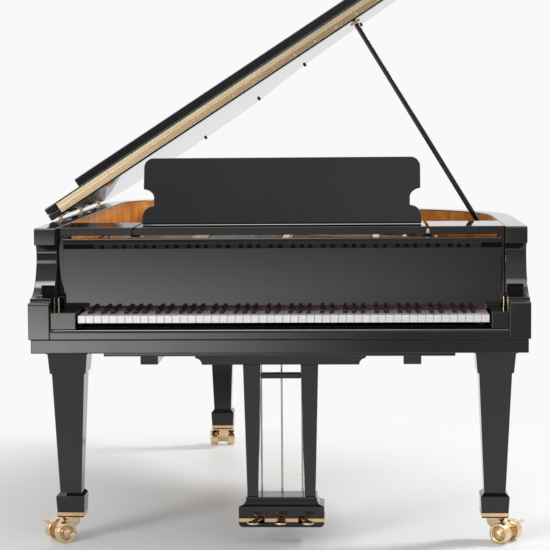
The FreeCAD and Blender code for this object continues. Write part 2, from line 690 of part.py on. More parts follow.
fingers = range(FIRST_FINGER, FIRST_FINGER + len(FINGER_KEYS))
whites = [white_key(white) for white in range(WHITE_KEYS) if white not in fingers]
blacks = []
for white in range(WHITE_KEYS):
    if sharp_centre(white) is None:
        continue
    name = FINGER_SHARPS[white - FIRST_FINGER] if white in fingers else None
    if name:
        keep(solid(name, black_key(white)))
    else:
        blacks.append(black_key(white))
for white, name in zip(fingers, FINGER_KEYS):
    keep(solid(name, white_key(white)))
keep(solid("white_keys", Part.makeCompound(whites)))
keep(solid("black_keys", Part.makeCompound(blacks)))
keep(solid("hammers", Part.makeCompound([hammer(x) for x in string_x])))

rail_left = "keys_centre - rail_end - " + keys_half
rail_long = "2 * rail_end + 2 * " + keys_half
frame_low = "rim_low + frame_gap"
key_under = "key_top - key_thick"
rails = [
    block("front_rail", ("keys_centre - " + keys_half, "rail_front", frame_low),
          ("2 * " + keys_half, "rail_thick", key_under + " - front_drop - rim_low - frame_gap")),
    block("balance_rail", (rail_left, "balance_line - rail_thick / 2", frame_low),
          (rail_long, "rail_thick", key_under + " - balance_gap - rim_low - frame_gap")),
    block("back_rail", (rail_left, "key_length - rail_thick", frame_low),
          (rail_long, "rail_thick", key_under + " - seat_gap - rim_low - frame_gap")),
    block("hammer_rail", (rail_left, "hammer_pivot - hammer_butt - hammer_play - rail_thick",
                          "hammer_level - hammer_rail_high / 2"),
          (rail_long, "rail_thick", "hammer_rail_high"))]
for number, x in enumerate((rail_left, "keys_centre + " + keys_half + " + rail_end - board_thick")):
    end = "%s * (%s - board_thick / 2)" % ("-1" if number == 0 else "1", keys_half)
    rails.append(block("front_tie_%d" % number, (
        "keys_centre + %s - board_thick / 2" % end, "rail_front + rail_thick", frame_low),
        ("board_thick", "balance_line - 1.5 * rail_thick - rail_front", "board_thick")))
    rails.append(block("back_tie_%d" % number, (x, "balance_line + rail_thick / 2", frame_low),
                       ("board_thick", "key_length - 1.5 * rail_thick - balance_line", "board_thick")))
    rails.append(block("bracket_%d" % number, (
        x, "balance_line - rail_thick / 2", key_under + " - balance_gap"),
                       ("board_thick", "rail_thick",
                        "hammer_level - hammer_rail_high / 2 - key_top + key_thick + balance_gap")))
keep(group("key_frame", rails))


# The fallboard, the music shelf and the music desk

def fallboard_profile():
    """Side view: a flat board that slopes out to a rail along its upper edge."""
    front, low, top = size("board_front"), size("board_low"), size("board_top")
    back, lip, soft = front + size("board_thick"), size("board_lip"), size("board_thick") / 5
    corner = soft * (1 - math.sqrt(0.5))
    rail_low, slope_low = top - size("board_rail"), top - size("board_rail") - size("board_slope")
    return outline(
        (front, low), (front, slope_low), (front - lip, rail_low), (front - lip, top - soft),
        ((front - lip + corner, top - corner), (front - lip + soft, top)), (back, top), (back, low))


def desk_profile():
    """Front view of the desk: wide foot, drawn-in waist, wide upper part with round corners."""
    upper, waist, foot = size("desk_half"), size("desk_waist_half"), size("desk_foot_half")
    top, inward = size("desk_high"), size("desk_half") - size("desk_waist_half")
    toe, diagonal = size("desk_foot_half") - size("desk_waist_half"), math.sqrt(0.5)
    toe_level = size("desk_toe")
    waist_low, waist_high = toe_level + toe, top - 4 * inward
    soft = size("desk_round")
    right = [
        (foot, toe_level),
        ((waist + toe * diagonal, toe_level + toe * diagonal), (waist, waist_low)),
        (waist, waist_high),
        ((upper - inward * diagonal, waist_high + inward * diagonal), (upper, waist_high + inward)),
        (upper, top - soft),
        ((upper - soft * (1 - diagonal), top - soft * (1 - diagonal)), (upper - soft, top)),
    ]
    start = (-foot, 0)
    left = [
        (soft - upper, top),
        ((soft * (1 - diagonal) - upper, top - soft * (1 - diagonal)), (-upper, top - soft)),
        (-upper, waist_high + inward),
        ((inward * diagonal - upper, waist_high + inward * diagonal), (-waist, waist_high)),
        (-waist, waist_low),
        ((-waist - toe * diagonal, toe_level + toe * diagonal), (-foot, toe_level)),
    ]
    return outline(start, (foot, 0), *(right + left))


board = padded("fallboard_panel", "YZ_Plane", fallboard_profile(),
               "case_width - 2 * rim_wall - side_gap - treble_gap",
               ("rim_wall + side_gap - case_width / 2", "0", "0"))
board_pins = []
for side, gap in ((-1, size("side_gap")), (1, size("treble_gap"))):
    line = (size("board_front") + size("board_pivot_back"), size("board_low") + size("board_pivot_high"))
    start = (side * (inside - gap - size("board_pin")),) + line
    end = (side * (inside - seat),) + line
    board_pins.append(solid("fallboard_pin_%d" % len(board_pins), rod(start, end, size("board_pin"))))
fallboard = doc.addObject("Part::MultiFuse", "fallboard")
fallboard.Shapes = [board] + board_pins
keep(fallboard)
shelf_low = "rim_top - shelf_drop - shelf_thick"
keep(block("desk_shelf", ("-shelf_half", "shelf_front", shelf_low),
           ("2 * shelf_half", "shelf_back - shelf_front", "shelf_thick")))
panel_wide = "case_width / 2 - rim_wall - shelf_half - shelf_gap"
panels = []
for side, x, ledge in (("bass", "rim_wall - case_width / 2", "-shelf_half - shelf_gap / 2 - runner_wide / 2"),
                       ("treble", "shelf_half + shelf_gap", "shelf_half + shelf_gap / 2 - runner_wide / 2")):
    panels.append(block(side + "_panel", (x, "shelf_front", shelf_low + " - seat_gap"),
                        (panel_wide, "shelf_back - shelf_front", "shelf_thick + seat_gap")))
    panels.append(block(side + "_runner", (ledge, "shelf_front + runner_front",
                                           shelf_low + " - seat_gap - runner_thick"),
                        ("runner_wide", "shelf_back - shelf_front - runner_front", "runner_thick")))
keep(group("side_shelves", panels))

desk = keep(padded("music_desk", "XZ_Plane", desk_profile(), "desk_thick"))
desk.Placement = Placement(Vector(0, size("desk_line"), rim_top - size("shelf_drop") + seat),
                           Rotation(Vector(1, 0, 0), -size("desk_lean")))


# The legs and the casters

foot_low, foot_top = size("foot_low"), size("foot_low") + size("foot_high")
bed_low = rim_low - size("bed_thick")
leg_x, rear_x = half - size("leg_side"), size("rear_leg_side") - half
rear_y = tail_centre.y + tail_radius - size("rear_leg_line")
LEGS = (("front_left", -leg_x, size("leg_line"), bed_low, -size("caster_turn")),
        ("front_right", leg_x, size("leg_line"), bed_low, size("caster_turn")),
        ("rear", rear_x, rear_y, rim_low, size("rear_caster_turn")))


def leg(x, y, top):
    """A square leg: plate, cap, tapered shaft and a foot block."""
    spot = (x, y)
    plate_low = top - size("leg_plate_high")
    cap_low = plate_low - size("leg_cap_high")
    shaft_low = foot_top + size("foot_cove")
    plate, cap, shaft = size("leg_plate_wide"), size("leg_cap_wide"), size("leg_top_wide")
    ankle, foot, sole = size("leg_low_wide"), size("foot_wide"), size("foot_low_wide")
    cap_foot = (cap + shaft) / 2
    steps = [
        frustum(spot, (plate, plate, plate_low), (plate, plate, top)),
        frustum(spot, (cap_foot, cap_foot, cap_low), (cap, cap, plate_low)),
        frustum(spot, (ankle, ankle, shaft_low), (shaft, shaft, cap_low)),
        frustum(spot, (foot, foot, foot_top), (ankle, ankle, shaft_low)),
        frustum(spot, (sole, sole, foot_low), (foot, foot, foot_top))]
    return steps[0].multiFuse(steps[1:]).removeSplitter()


def foot_side(level):
    share = (level - foot_low) / size("foot_high")
    return size("foot_low_wide") + share * (size("foot_wide") - size("foot_low_wide"))


def leg_band(x, y):
    """A thin brass band that fits round a foot."""
    levels = [foot_low + size("band_lift"), foot_low + size("band_lift") + size("band_high")]
    inner = [(foot_side(level), foot_side(level), level) for level in levels]
    outer = [(side + 2 * size("band_proud"),) * 2 + (level,) for side, same, level in inner]
    return frustum((x, y), *outer).cut(frustum((x, y), *inner))


axle_way = Vector(1, 0, 0)
axle_level, trail = size("wheel_radius"), size("caster_trail")
horn_half = size("wheel_gap") / 2 - size("wheel_play")


def caster_fork():
    """A round top plate and a horn between the wheels, with a bore for the axle."""
    plate_top = foot_low - seat
    plate_low = plate_top - size("caster_plate")
    disc = faceted_rod((0, 0, plate_low), (0, 0, plate_top), size("swivel_radius"), WHEEL_SIDE_COUNT)
    hub = size("wheel_radius") / 2
    corners = [(-trail - hub, axle_level - hub), (-trail + hub, axle_level - hub), (hub, plate_low - hub),
               (hub, plate_low), (-hub * 1.5, plate_low), (-trail - hub, axle_level + hub)]
    horn = prism([(-horn_half,) + corner for corner in corners], (2 * horn_half, 0, 0))
    bore = Part.makeCylinder(size("axle_radius") + size("axle_play"), 2 * horn_half,
                             Vector(-horn_half, -trail, axle_level), axle_way)
    return disc.fuse(horn).cut(bore).removeSplitter()


def caster_wheels():
    """Twin wheels with dished outer faces at the ends of an axle."""
    inner = size("wheel_gap") / 2
    outer = inner + size("wheel_thick")
    radius, dish = size("wheel_radius"), size("wheel_thick") / 4
    parts = []
    for side in (1, -1):
        back, floor, face = ((side * depth, -trail, axle_level) for depth in (inner, outer - dish, outer))
        wheel = faceted_rod(back, face, radius, WHEEL_SIDE_COUNT).cut(faceted_rod(floor, face, radius * 0.7))
        parts.append(wheel.fuse(faceted_rod(floor, face, radius * 0.35)).removeSplitter())
    axle = Part.makeCylinder(size("axle_radius"), 2 * inner, Vector(-inner, -trail, axle_level), axle_way)
    return Part.makeCompound(parts + [axle])


def brake_lever():
    """A tongue that rises behind the horn and is trodden down."""
    hub, thick = size("wheel_radius") / 2, size("caster_plate")
    back, level = -trail - hub - seat, axle_level + hub * 0.5
    tip, rise = back - size("brake_reach"), size("brake_rise")
    corners = [(back, level), (back, level + 1.5 * thick), (tip, level + rise + thick),
               (tip - thick, level + rise)]
    return prism([(-horn_half * 0.7,) + corner for corner in corners], (horn_half * 1.4, 0, 0))


bands = []
for name, x, y, top, turn in LEGS:
    keep(solid(name + "_leg", leg(x, y, top)))
    bands.append(solid(name + "_band", leg_band(x, y)))
    spot = Placement(Vector(x, y, 0), Rotation(Vector(0, 0, 1), turn))
    keep(solid(name + "_caster_fork", caster_fork(), spot))
    keep(solid(name + "_caster_wheels", caster_wheels(), spot))
    keep(solid(name + "_caster_brake", brake_lever(), spot))


# The lyre and the pedals

lyre_front, lyre_low = size("lyre_front"), size("lyre_low")
lyre_top = lyre_low + size("lyre_high")
crown_top = lyre_top + size("lyre_crown")
lyre_middle = lyre_front + size("lyre_depth") / 2
post_line = lyre_front + size("lyre_board_deep") / 2
lyre_board_low = bed_low - size("underboard_thick") - size("lyre_board_thick")
pivot_line = lyre_front + size("pedal_pivot")
rod_line = pivot_line + size("pedal_tail") * 0.75
pedal_low = lyre_low + size("pedal_lift")
pedal_top = pedal_low + size("pedal_thick")
stem = size("pedal_wide") / 2 - 3
PEDALS = (("left", -1), ("middle", 0), ("right", 1))


def pedal_slots():
    """The room that the pedals need in the lyre box and through its band."""
    slots, room = [], stem + size("slot_side")
    for name, side in PEDALS:
        x = side * size("pedal_pitch")
        slots.append(box((x - room, lyre_front - size("slot_side"), pedal_low - size("slot_under")),
                         (x + room, pivot_line + size("pedal_tail") + size("slot_side"),
                          pedal_top + size("slot_over"))))
    return slots


def lyre_box():
    """A box with a hollow crown, slotted for the pedals and bored for their rods."""
    wide, deep = size("lyre_wide"), size("lyre_depth")
    body = box((-wide / 2, lyre_front, lyre_low), (wide / 2, lyre_front + deep, lyre_top))
    edges = [edge for edge in body.Edges if abs(edge.BoundBox.ZMax - lyre_low) < 1e-6
             and edge.BoundBox.YLength > deep / 2]
    body = body.makeFillet(size("lyre_crown") / 2, edges)
    top_wide, top_deep, rise = size("lyre_crown_wide"), size("lyre_crown_deep"), size("lyre_crown")
    levels = [(wide, deep, lyre_top),
              ((wide + 2 * top_wide) / 3, (deep + 2 * top_deep) / 3, lyre_top + rise / 5),
              (top_wide, top_deep, lyre_top + rise * 0.6), (top_wide, top_deep, crown_top)]
    crown = [frustum((0, lyre_middle), low, high) for low, high in zip(levels, levels[1:])]
    cuts = pedal_slots()
    for name, side in PEDALS:
        x = side * size("pedal_pitch")
        cuts.append(faceted_rod((x, rod_line, pedal_low), (x, rod_line, crown_top + size("slot_over")),
                                size("rod_radius") + size("rod_play")))
    return body.multiFuse(crown).cut(Part.makeCompound(cuts)).removeSplitter()


def lyre_frame():
    """Two tapered posts, the bar between them and the braces behind them."""
    parts = []
    deep, bar_top = size("post_depth"), lyre_board_low - size("lyre_bar_drop")
    brace = size("post_low_wide") / 5
    for side in (-1, 1):
        x = side * size("lyre_half")
        parts.append(frustum((x, post_line), (size("post_low_wide"), deep, crown_top),
                             (size("post_top_wide"), deep, lyre_board_low)))
        heel, head = post_line + deep / 2, size("under_back") - size("rail_thick")
        under = bed_low - size("underboard_thick")
        low = crown_top + size("lyre_crown_wide") / 3
        parts.append(prism(
            [(x - brace, heel, low), (x - brace, heel, low + 4 * brace),
             (x - brace, head - 2 * brace, under), (x - brace, head, under)], (2 * brace, 0, 0)))
    inner = size("lyre_half") - size("post_top_wide") / 2 + seat
    parts.append(box((-inner, post_line - deep / 4, bar_top - size("lyre_bar_high")),
                     (inner, post_line + deep / 4, bar_top)))
    return Part.makeCompound(parts)


def pedal_plan(splay):
    """A pedal from above: straight stem, then a wider tip turned outwards."""
    tip, wide = -size("pedal_reach"), size("pedal_wide") / 2
    tail = size("pedal_pivot") + size("pedal_tail")
    return outline((-stem, tail), (-stem, 0), (splay - wide, tip + wide),
                   ((splay, tip), (splay + wide, tip + wide)), (stem, 0), (stem, tail))


keep(solid("lyre_frame", lyre_frame()))
keep(solid("lyre_box", lyre_box()))
band_low = lyre_low + size("band_high") * 1.5
proud = size("band_proud")
lyre_side, lyre_back = size("lyre_wide") / 2, lyre_front + size("lyre_depth")
band_top = band_low + size("band_high")
lyre_band = box((-lyre_side - proud, lyre_front - proud, band_low),
                (lyre_side + proud, lyre_back + proud, band_top))
lyre_band = lyre_band.cut(
    [box((-lyre_side, lyre_front, band_low), (lyre_side, lyre_back, band_top))] + pedal_slots())
keep(group("brass_bands", bands + [solid("lyre_band", lyre_band)]))
pin_half = stem + size("slot_side") - seat
pedal_middle = size("pedal_thick") / 2
for name, side in PEDALS:
    x = side * size("pedal_pitch")
    pivot = faceted_rod((-pin_half, size("pedal_pivot"), pedal_middle),
                        (pin_half, size("pedal_pivot"), pedal_middle), size("pin_radius"))
    pedal = filled(pedal_plan(side * size("pedal_splay")), size("pedal_thick")).fuse(pivot).removeSplitter()
    keep(solid(name + "_pedal", pedal, Placement(Vector(x, lyre_front, pedal_low), Rotation())))
    rod_top = bed_low - size("underboard_thick") - size("slot_over")
    keep(solid(name + "_rod", faceted_rod((x, rod_line, pedal_top + seat), (x, rod_line, rod_top),
                                          size("rod_radius"))))


# The lid, its hinges and the prop

lid_low = rim_top + size("lid_gap")
lid_top = lid_low + size("lid_thick")
hinge_point = Vector(size("hinge_inset") - half, 0, rim_top + size("lid_gap") / 2)
swing = Placement(Vector(), Rotation(Vector(0, 1, 0), -size("lid_angle")), hinge_point)
joint_line, barrel = size("lid_joint"), size("barrel_radius")
edge_line = joint_line + barrel + seat + size("leaf_thick")
lid_half = half + size("lid_overhang")
fold_level = lid_top + seat
KNUCKLE_COUNT = 8
SPINE_HINGE_COUNT = 3


def flap_plan():
    """The flap folded back on the lid, with its free corners rounded."""
    far, soft = 2 * joint_line - size("lid_front"), size("rail_thick")
    corner = soft * (1 - math.sqrt(0.5))
    return outline(
        (-lid_half, edge_line), (lid_half, edge_line), (lid_half, far - soft),
        ((lid_half - corner, far - corner), (lid_half - soft, far)), (soft - lid_half, far),
        ((corner - lid_half, far - corner), (-lid_half, far - soft)))


def long_leaf(side):
    """One leaf of the long hinge with its share of the knuckles: side is -1 below, 1 above."""
    low = fold_level - seat - size("leaf_high") if side < 0 else fold_level + seat
    leaf_half = lid_half - size("leaf_inset")
    parts = [box((-leaf_half, edge_line - size("leaf_thick"), low),
                 (leaf_half, edge_line, low + size("leaf_high")))]
    step = 2 * leaf_half / KNUCKLE_COUNT
    web_low = fold_level + (seat if side > 0 else -barrel)
    for number in range(0 if side < 0 else 1, KNUCKLE_COUNT, 2):
        start, end = -leaf_half + number * step + seat, -leaf_half + (number + 1) * step - seat
        parts.append(faceted_rod((start, joint_line, fold_level), (end, joint_line, fold_level), barrel))
        parts.append(box((start, joint_line, web_low), (end, edge_line, web_low + barrel - seat)))
    return parts[0].multiFuse(parts[1:]).removeSplitter()


def spine_hinge(y, side):
    """Half of a butt hinge: side is -1 on the rim, 1 under the lid."""
    radius, wing, long = size("hinge_radius"), size("rail_thick"), size("rail_thick") * 2.4
    middle, thick = long / 3, size("leaf_thick")
    low = rim_top if side < 0 else lid_low - thick
    x, z = hinge_point.x, hinge_point.z
    knuckle = rod if side > 0 else faceted_rod
    parts = [box((x + radius + seat, y, low), (x + wing, y + long, low + thick))]
    spans = ((0, middle - seat), (2 * middle + seat, long)) if side < 0 else ((middle, 2 * middle),)
    for start, end in spans:
        parts.append(knuckle((x, y + start, z), (x, y + end, z), radius))
        parts.append(box((x, y + start, low), (x + radius + 2 * seat, y + end, low + thick)))
    return parts[0].multiFuse(parts[1:]).removeSplitter()


lid = keep(padded("main_lid", "XY_Plane", rim_field(-size("lid_overhang"), edge_line), "lid_thick"))
lid.Placement = swing.multiply(Placement(Vector(0, 0, lid_low), Rotation()))
flap_low = fold_level + seat
flap_panel = padded("flap_panel", "XY_Plane", flap_plan(), "lid_thick")
flap_panel.Placement = swing.multiply(Placement(Vector(0, 0, flap_low), Rotation()))
lip_half = inside - size("lip_gap")
lip_back = 2 * joint_line - size("lid_front") - size("lip_set")
lip = solid("flap_lip", box(
    (-lip_half, lip_back - size("lip_thick"), flap_low + size("lid_thick")),
    (lip_half, lip_back, flap_low + size("lid_thick") + size("lip_high"))), swing)
flap = doc.addObject("Part::MultiFuse", "front_flap")
flap.Shapes = [flap_panel, lip]
keep(flap)
keep(solid("flap_leaf", long_leaf(1), swing))
hinge_lines = [joint_line + size("lid_front") * 0.6 + number * (tail_centre.y - joint_line) * 0.38
               for number in range(SPINE_HINGE_COUNT)]

prop_foot = Vector(inside - size("prop_side"), size("prop_line"), rim_top - size("prop_drop"))
prop_turn, lid_turn = math.radians(size("prop_angle")), math.radians(size("lid_angle"))
prop_way = Vector(math.cos(prop_turn), 0, math.sin(prop_turn))
prop_across = Vector(prop_way.z, 0, -prop_way.x)
lid_way = Vector(math.cos(lid_turn), 0, math.sin(lid_turn))
lid_normal = Vector(-lid_way.z, 0, lid_way.x)
tip_level = size("lid_gap") / 2 - size("cup_thick") - size("prop_tip_gap")


def prop_end(offset):
    """Where a line along the prop, set across from its middle, meets the cup's clearance."""
    start = prop_foot + prop_across * offset
    length = (tip_level - (start - hinge_point).dot(lid_normal)) / prop_way.dot(lid_normal)
    return start + prop_way * length


prop_half = size("prop_wide") / 2
prop_corners = [prop_foot - prop_across * prop_half, prop_foot - prop_way * prop_half,
                prop_foot + prop_across * prop_half, prop_end(prop_half), prop_end(-prop_half)]
prop_side = Vector(0, size("prop_thick") / 2, 0)
keep(solid("prop_stick", prism([tuple(corner - prop_side) for corner in prop_corners],
                               (0, size("prop_thick"), 0))))
cup_x = hinge_point.x + (prop_end(0) - hinge_point).dot(lid_way)
cup = box((cup_x - 2 * prop_half, prop_foot.y - 2 * prop_half, lid_low - size("cup_thick")),
          (cup_x + 2 * prop_half, prop_foot.y + 2 * prop_half, lid_low))
keep(solid("lid_fittings", Part.makeCompound(
    [long_leaf(-1), cup] + [spine_hinge(y, 1) for y in hinge_lines]), swing))
bracket = box((prop_foot.x + prop_half * 1.1, prop_foot.y - prop_half, prop_foot.z - prop_half),
              (inside - seat * 3, prop_foot.y + prop_half, prop_foot.z + prop_half / 2))
keep(solid("case_fittings", Part.makeCompound([bracket] + [spine_hinge(y, -1) for y in hinge_lines])))


# Checking and writing

doc.recompute()
for item in doc.Objects:
    if "Invalid" in item.State or "Error" in item.State:
        raise RuntimeError("%s failed: %s" % (item.Label, item.State))
os.makedirs("parts", exist_ok=True)
for item in pieces:
    if item.Shape.isNull() or not item.Shape.isValid():
        raise RuntimeError("%s has no valid shape" % item.Label)
for item in pieces:
    item.Shape.exportStep(os.path.join("parts", item.Label + ".step"))
print(len(pieces), "pieces, tail at", round(tail_centre.y + tail_radius, 1))
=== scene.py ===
# %% [markdown]
# A grand piano with its lid up.
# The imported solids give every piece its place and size. This lesson dresses them: it rounds the
# edges that catch the light, gives each finish its own nodes, and adds the small trim.

# %% Load the frame
import json
import math

import bmesh
import bpy
from mathutils import Matrix, Vector


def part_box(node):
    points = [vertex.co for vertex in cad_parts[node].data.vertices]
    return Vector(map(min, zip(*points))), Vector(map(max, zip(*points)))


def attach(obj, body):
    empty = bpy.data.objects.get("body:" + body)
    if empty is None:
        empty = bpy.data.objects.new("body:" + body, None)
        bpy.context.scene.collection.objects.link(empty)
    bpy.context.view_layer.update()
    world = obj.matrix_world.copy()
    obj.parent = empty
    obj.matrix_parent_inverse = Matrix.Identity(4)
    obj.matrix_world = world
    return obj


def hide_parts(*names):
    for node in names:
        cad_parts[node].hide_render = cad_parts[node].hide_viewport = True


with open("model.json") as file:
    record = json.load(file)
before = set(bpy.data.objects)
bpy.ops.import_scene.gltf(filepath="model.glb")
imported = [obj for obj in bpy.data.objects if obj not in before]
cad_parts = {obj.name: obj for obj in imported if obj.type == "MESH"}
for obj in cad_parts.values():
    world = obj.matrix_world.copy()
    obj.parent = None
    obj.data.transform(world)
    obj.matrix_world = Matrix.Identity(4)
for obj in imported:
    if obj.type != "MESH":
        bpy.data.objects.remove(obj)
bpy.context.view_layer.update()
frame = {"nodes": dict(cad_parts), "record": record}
nodes = frame["nodes"]
record = frame["record"]
body_of = {node: body for body, members in record["behaviour"]["bodies"].items()
           for node in members}
slot_of = {part["node"]: part["material_slot"] for part in record["subparts"]}

# %% [markdown]
# Materials, the sky and the repeated shapes are all built as node trees. One helper adds a node to
# any of them: it takes the node's settings by name, and a value or another node's output for each
# socket.

# %% A helper that adds a node


def plug(tree, kind, values=None, **settings):
    """Add a node with its settings, its values and its links, and return its outputs."""
    node = tree.nodes.new(kind)
    for setting, value in settings.items():
        setattr(node, setting, value)
    for socket, value in (values or {}).items():
        if hasattr(value, "is_output"):
            tree.links.new(value, node.inputs[socket])
        else:
            node.inputs[socket].default_value = value
    return node.outputs


print("one helper for all node trees")

# %% [markdown]
# Every finish starts from one Principled shader. A finish is a colour that wanders a little, a
# roughness that wanders a little and, where the surface has a tooth, a bump. All three read Object
# coordinates, so a pattern keeps its real size on every piece. A helper builds that much, and each
# finish then states only what sets it apart.

# %% Helpers for finishes
RAMP_STOPS = (0.3, 0.7)
BUMP_STRENGTH = 0.5


def cloudy(tree, scale, detail=4.0, twist=0.0, tilt=0.0):
    """A noise on Object coordinates, tilted about Y, that can be long one way and short another."""
    stretch = {"Vector": plug(tree, "ShaderNodeTexCoord")["Object"], "Rotation": (0.0, tilt, 0.0),
               "Scale": [1.0 / part for part in scale]}
    place = plug(tree, "ShaderNodeMapping", stretch, vector_type="TEXTURE")["Vector"]
    noise = {"Vector": place, "Scale": 1.0, "Detail": detail, "Distortion": twist}
    return plug(tree, "ShaderNodeTexNoise", noise)["Fac"]


def between(tree, pattern, *values):
    """A ramp from one value or colour to another, driven by a pattern."""
    ramp = tree.nodes.new("ShaderNodeValToRGB")
    for stop, spot, value in zip(ramp.color_ramp.elements, RAMP_STOPS, values):
        stop.position = spot
        stop.color = (*value, 1.0) if isinstance(value, tuple) else (value, value, value, 1.0)
    tree.links.new(pattern, ramp.inputs["Fac"])
    return ramp.outputs["Color"]


def raised(tree, pattern, depth):
    """A bump of a real depth, in metres."""
    relief = {"Strength": BUMP_STRENGTH, "Distance": depth, "Height": pattern}
    return plug(tree, "ShaderNodeBump", relief)["Normal"]


def finish(name, colours, gloss, tint_scale, gloss_scale, bump=None, twist=0.0, tilt=0.0,
           detail=4.0, **sockets):
    """A material: two colours and two roughnesses that a pattern wanders between, and a bump."""
    material = bpy.data.materials.new(name)
    material.use_nodes = True
    tree = material.node_tree
    shader = tree.nodes["Principled BSDF"]
    tint = between(tree, cloudy(tree, tint_scale, detail, twist, tilt), *colours)
    tree.links.new(tint, shader.inputs["Base Color"])
    rough = between(tree, cloudy(tree, gloss_scale), *gloss)
    tree.links.new(rough, shader.inputs["Roughness"])
    if bump:
        scale, depth = bump
        tree.links.new(raised(tree, cloudy(tree, scale), depth), shader.inputs["Normal"])
    for socket, value in sockets.items():
        shader.inputs[socket.replace("_", " ")].default_value = value
    return material


def even(scale):
    """A pattern's scale that is the same in all three directions."""
    return (scale, scale, scale)


print("one helper for all finishes")

# %% [markdown]
# The case is wood under black polyester, rubbed to a mirror. Its colour is nearly black, and what
# the eye reads is the room in it. A plain mirror looks like plastic, so the roughness carries a
# faint buffing haze and a long, shallow bump makes reflections swim a little, as hand-polished
# panels do.

# %% Finishes of the case and the keys
polish = finish("black_polish", ((0.004, 0.004, 0.0045), (0.0075, 0.0075, 0.008)), (0.015, 0.05),
                even(3.0), even(14.0), bump=(even(5.0), 0.00012))
ivory = finish("key_ivory", ((0.62, 0.615, 0.60), (0.69, 0.685, 0.67)), (0.13, 0.22),
               (60.0, 9.0, 60.0), even(40.0), bump=((300.0, 40.0, 300.0), 0.00002),
               Coat_Weight=0.3)
ebony = finish("key_ebony", ((0.003, 0.003, 0.003), (0.009, 0.008, 0.0075)), (0.20, 0.32),
               (400.0, 14.0, 400.0), (300.0, 30.0, 300.0),
               bump=((600.0, 30.0, 600.0), 0.00004), Specular_IOR_Level=0.3)
print("polish, ivory and ebony")

# %% [markdown]
# Inside, the rim is faced with a figured veneer. The soundboard is straight-grained spruce, the
# inner rim and the pinblock are maple, and the frames are beech with a dark stain. Wood grain is a
# noise that is stretched along the length of the plank. The veneer also gets a twist, which turns
# even bands into figure.

# %% Finishes of the woods
veneer = finish("rim_veneer", ((0.54, 0.175, 0.03), (0.88, 0.36, 0.08)), (0.42, 0.56),
                (14.0, 14.0, 5.0), even(30.0), bump=((160.0, 160.0, 60.0), 0.00005), twist=1.6,
                Specular_IOR_Level=0.05)
spruce = finish("soundboard_spruce", ((0.50, 0.36, 0.20), (0.66, 0.51, 0.32)), (0.34, 0.50),
                (170.0, 3.0, 170.0), even(50.0), bump=((340.0, 6.0, 340.0), 0.00008))
beech = finish("frame_beech", ((0.15, 0.105, 0.07), (0.25, 0.185, 0.125)), (0.40, 0.58),
               (6.0, 120.0, 120.0), even(40.0), bump=((12.0, 300.0, 300.0), 0.00008))
maple = finish("rim_maple", ((0.50, 0.28, 0.12), (0.70, 0.44, 0.22)), (0.36, 0.52),
               (8.0, 8.0, 140.0), even(40.0), bump=((16.0, 16.0, 300.0), 0.00006))
print("veneer, spruce, beech and maple")

# %% [markdown]
# The metals: the lacquered iron plate, polished brass, steel wire, nickelled rods and the copper
# winding of the bass strings. Real brass is never one colour, so its tint drifts between a pale and
# a red gold. The long hinge is drawn strip, with streaks along the open lid's slope, and the bands
# are a redder alloy. The plate is sprayed over sanded iron and keeps a fine orange-peel skin.

# %% Finishes of the metals
LID_ANGLE = math.radians(33)
brass = finish("polished_brass", ((0.68, 0.50, 0.29), (0.82, 0.63, 0.40)), (0.14, 0.28),
               even(30.0), even(120.0), bump=(even(400.0), 0.00003), Metallic=1.0)
hinge_brass = finish("drawn_brass", ((0.36, 0.265, 0.155), (0.57, 0.45, 0.295)), (0.26, 0.36),
                     (0.6, 75.0, 75.0), even(8.0), tilt=-LID_ANGLE, detail=0.0, Metallic=1.0)
band_brass = finish("red_brass", ((0.72, 0.46, 0.22), (0.84, 0.57, 0.31)), (0.18, 0.30),
                    even(30.0), even(120.0), Metallic=1.0)
nickel = finish("rod_nickel", ((0.50, 0.46, 0.41), (0.64, 0.60, 0.54)), (0.20, 0.32),
                (200.0, 200.0, 8.0), even(120.0), Metallic=1.0)
gold_iron = finish("gold_plate", ((0.68, 0.48, 0.24), (0.80, 0.60, 0.34)), (0.30, 0.44),
                   even(20.0), even(300.0), bump=(even(700.0), 0.00012), Metallic=0.8)
steel = finish("string_steel", ((0.55, 0.55, 0.57), (0.74, 0.74, 0.76)), (0.18, 0.32),
               (40.0, 4.0, 40.0), even(200.0), Metallic=1.0)
copper = finish("wound_copper", ((0.52, 0.21, 0.10), (0.74, 0.36, 0.19)), (0.24, 0.38),
                even(20.0), even(200.0), bump=((20.0, 900.0, 20.0), 0.0004), Metallic=1.0)
print("three brasses, nickel, gold plate, steel and copper")

# %% [markdown]
# Felt is pressed wool: no gloss, a sheen at grazing angles and a tooth of fine fibres. Rubber
# buttons keep the lid off the rim and are plain dark and dull.

# %% Finishes of felt and rubber
red_felt = finish("red_felt", ((0.13, 0.010, 0.018), (0.22, 0.022, 0.034)), (0.85, 0.97),
                  even(300.0), even(200.0), bump=(even(1600.0), 0.0003), Sheen_Weight=0.3)
wool_felt = finish("wool_felt", ((0.66, 0.64, 0.58), (0.80, 0.78, 0.73)), (0.85, 0.97),
                   even(200.0), even(200.0), bump=(even(1400.0), 0.0003), Sheen_Weight=0.3)
rubber = finish("dark_rubber", ((0.012, 0.012, 0.012), (0.025, 0.025, 0.025)), (0.55, 0.72),
                even(200.0), even(200.0), bump=(even(900.0), 0.0001))
print("red felt, wool felt and rubber")

# %% [markdown]
# The record gives each node a material slot, and each slot has its finish. A few nodes have a
# finish of their own.

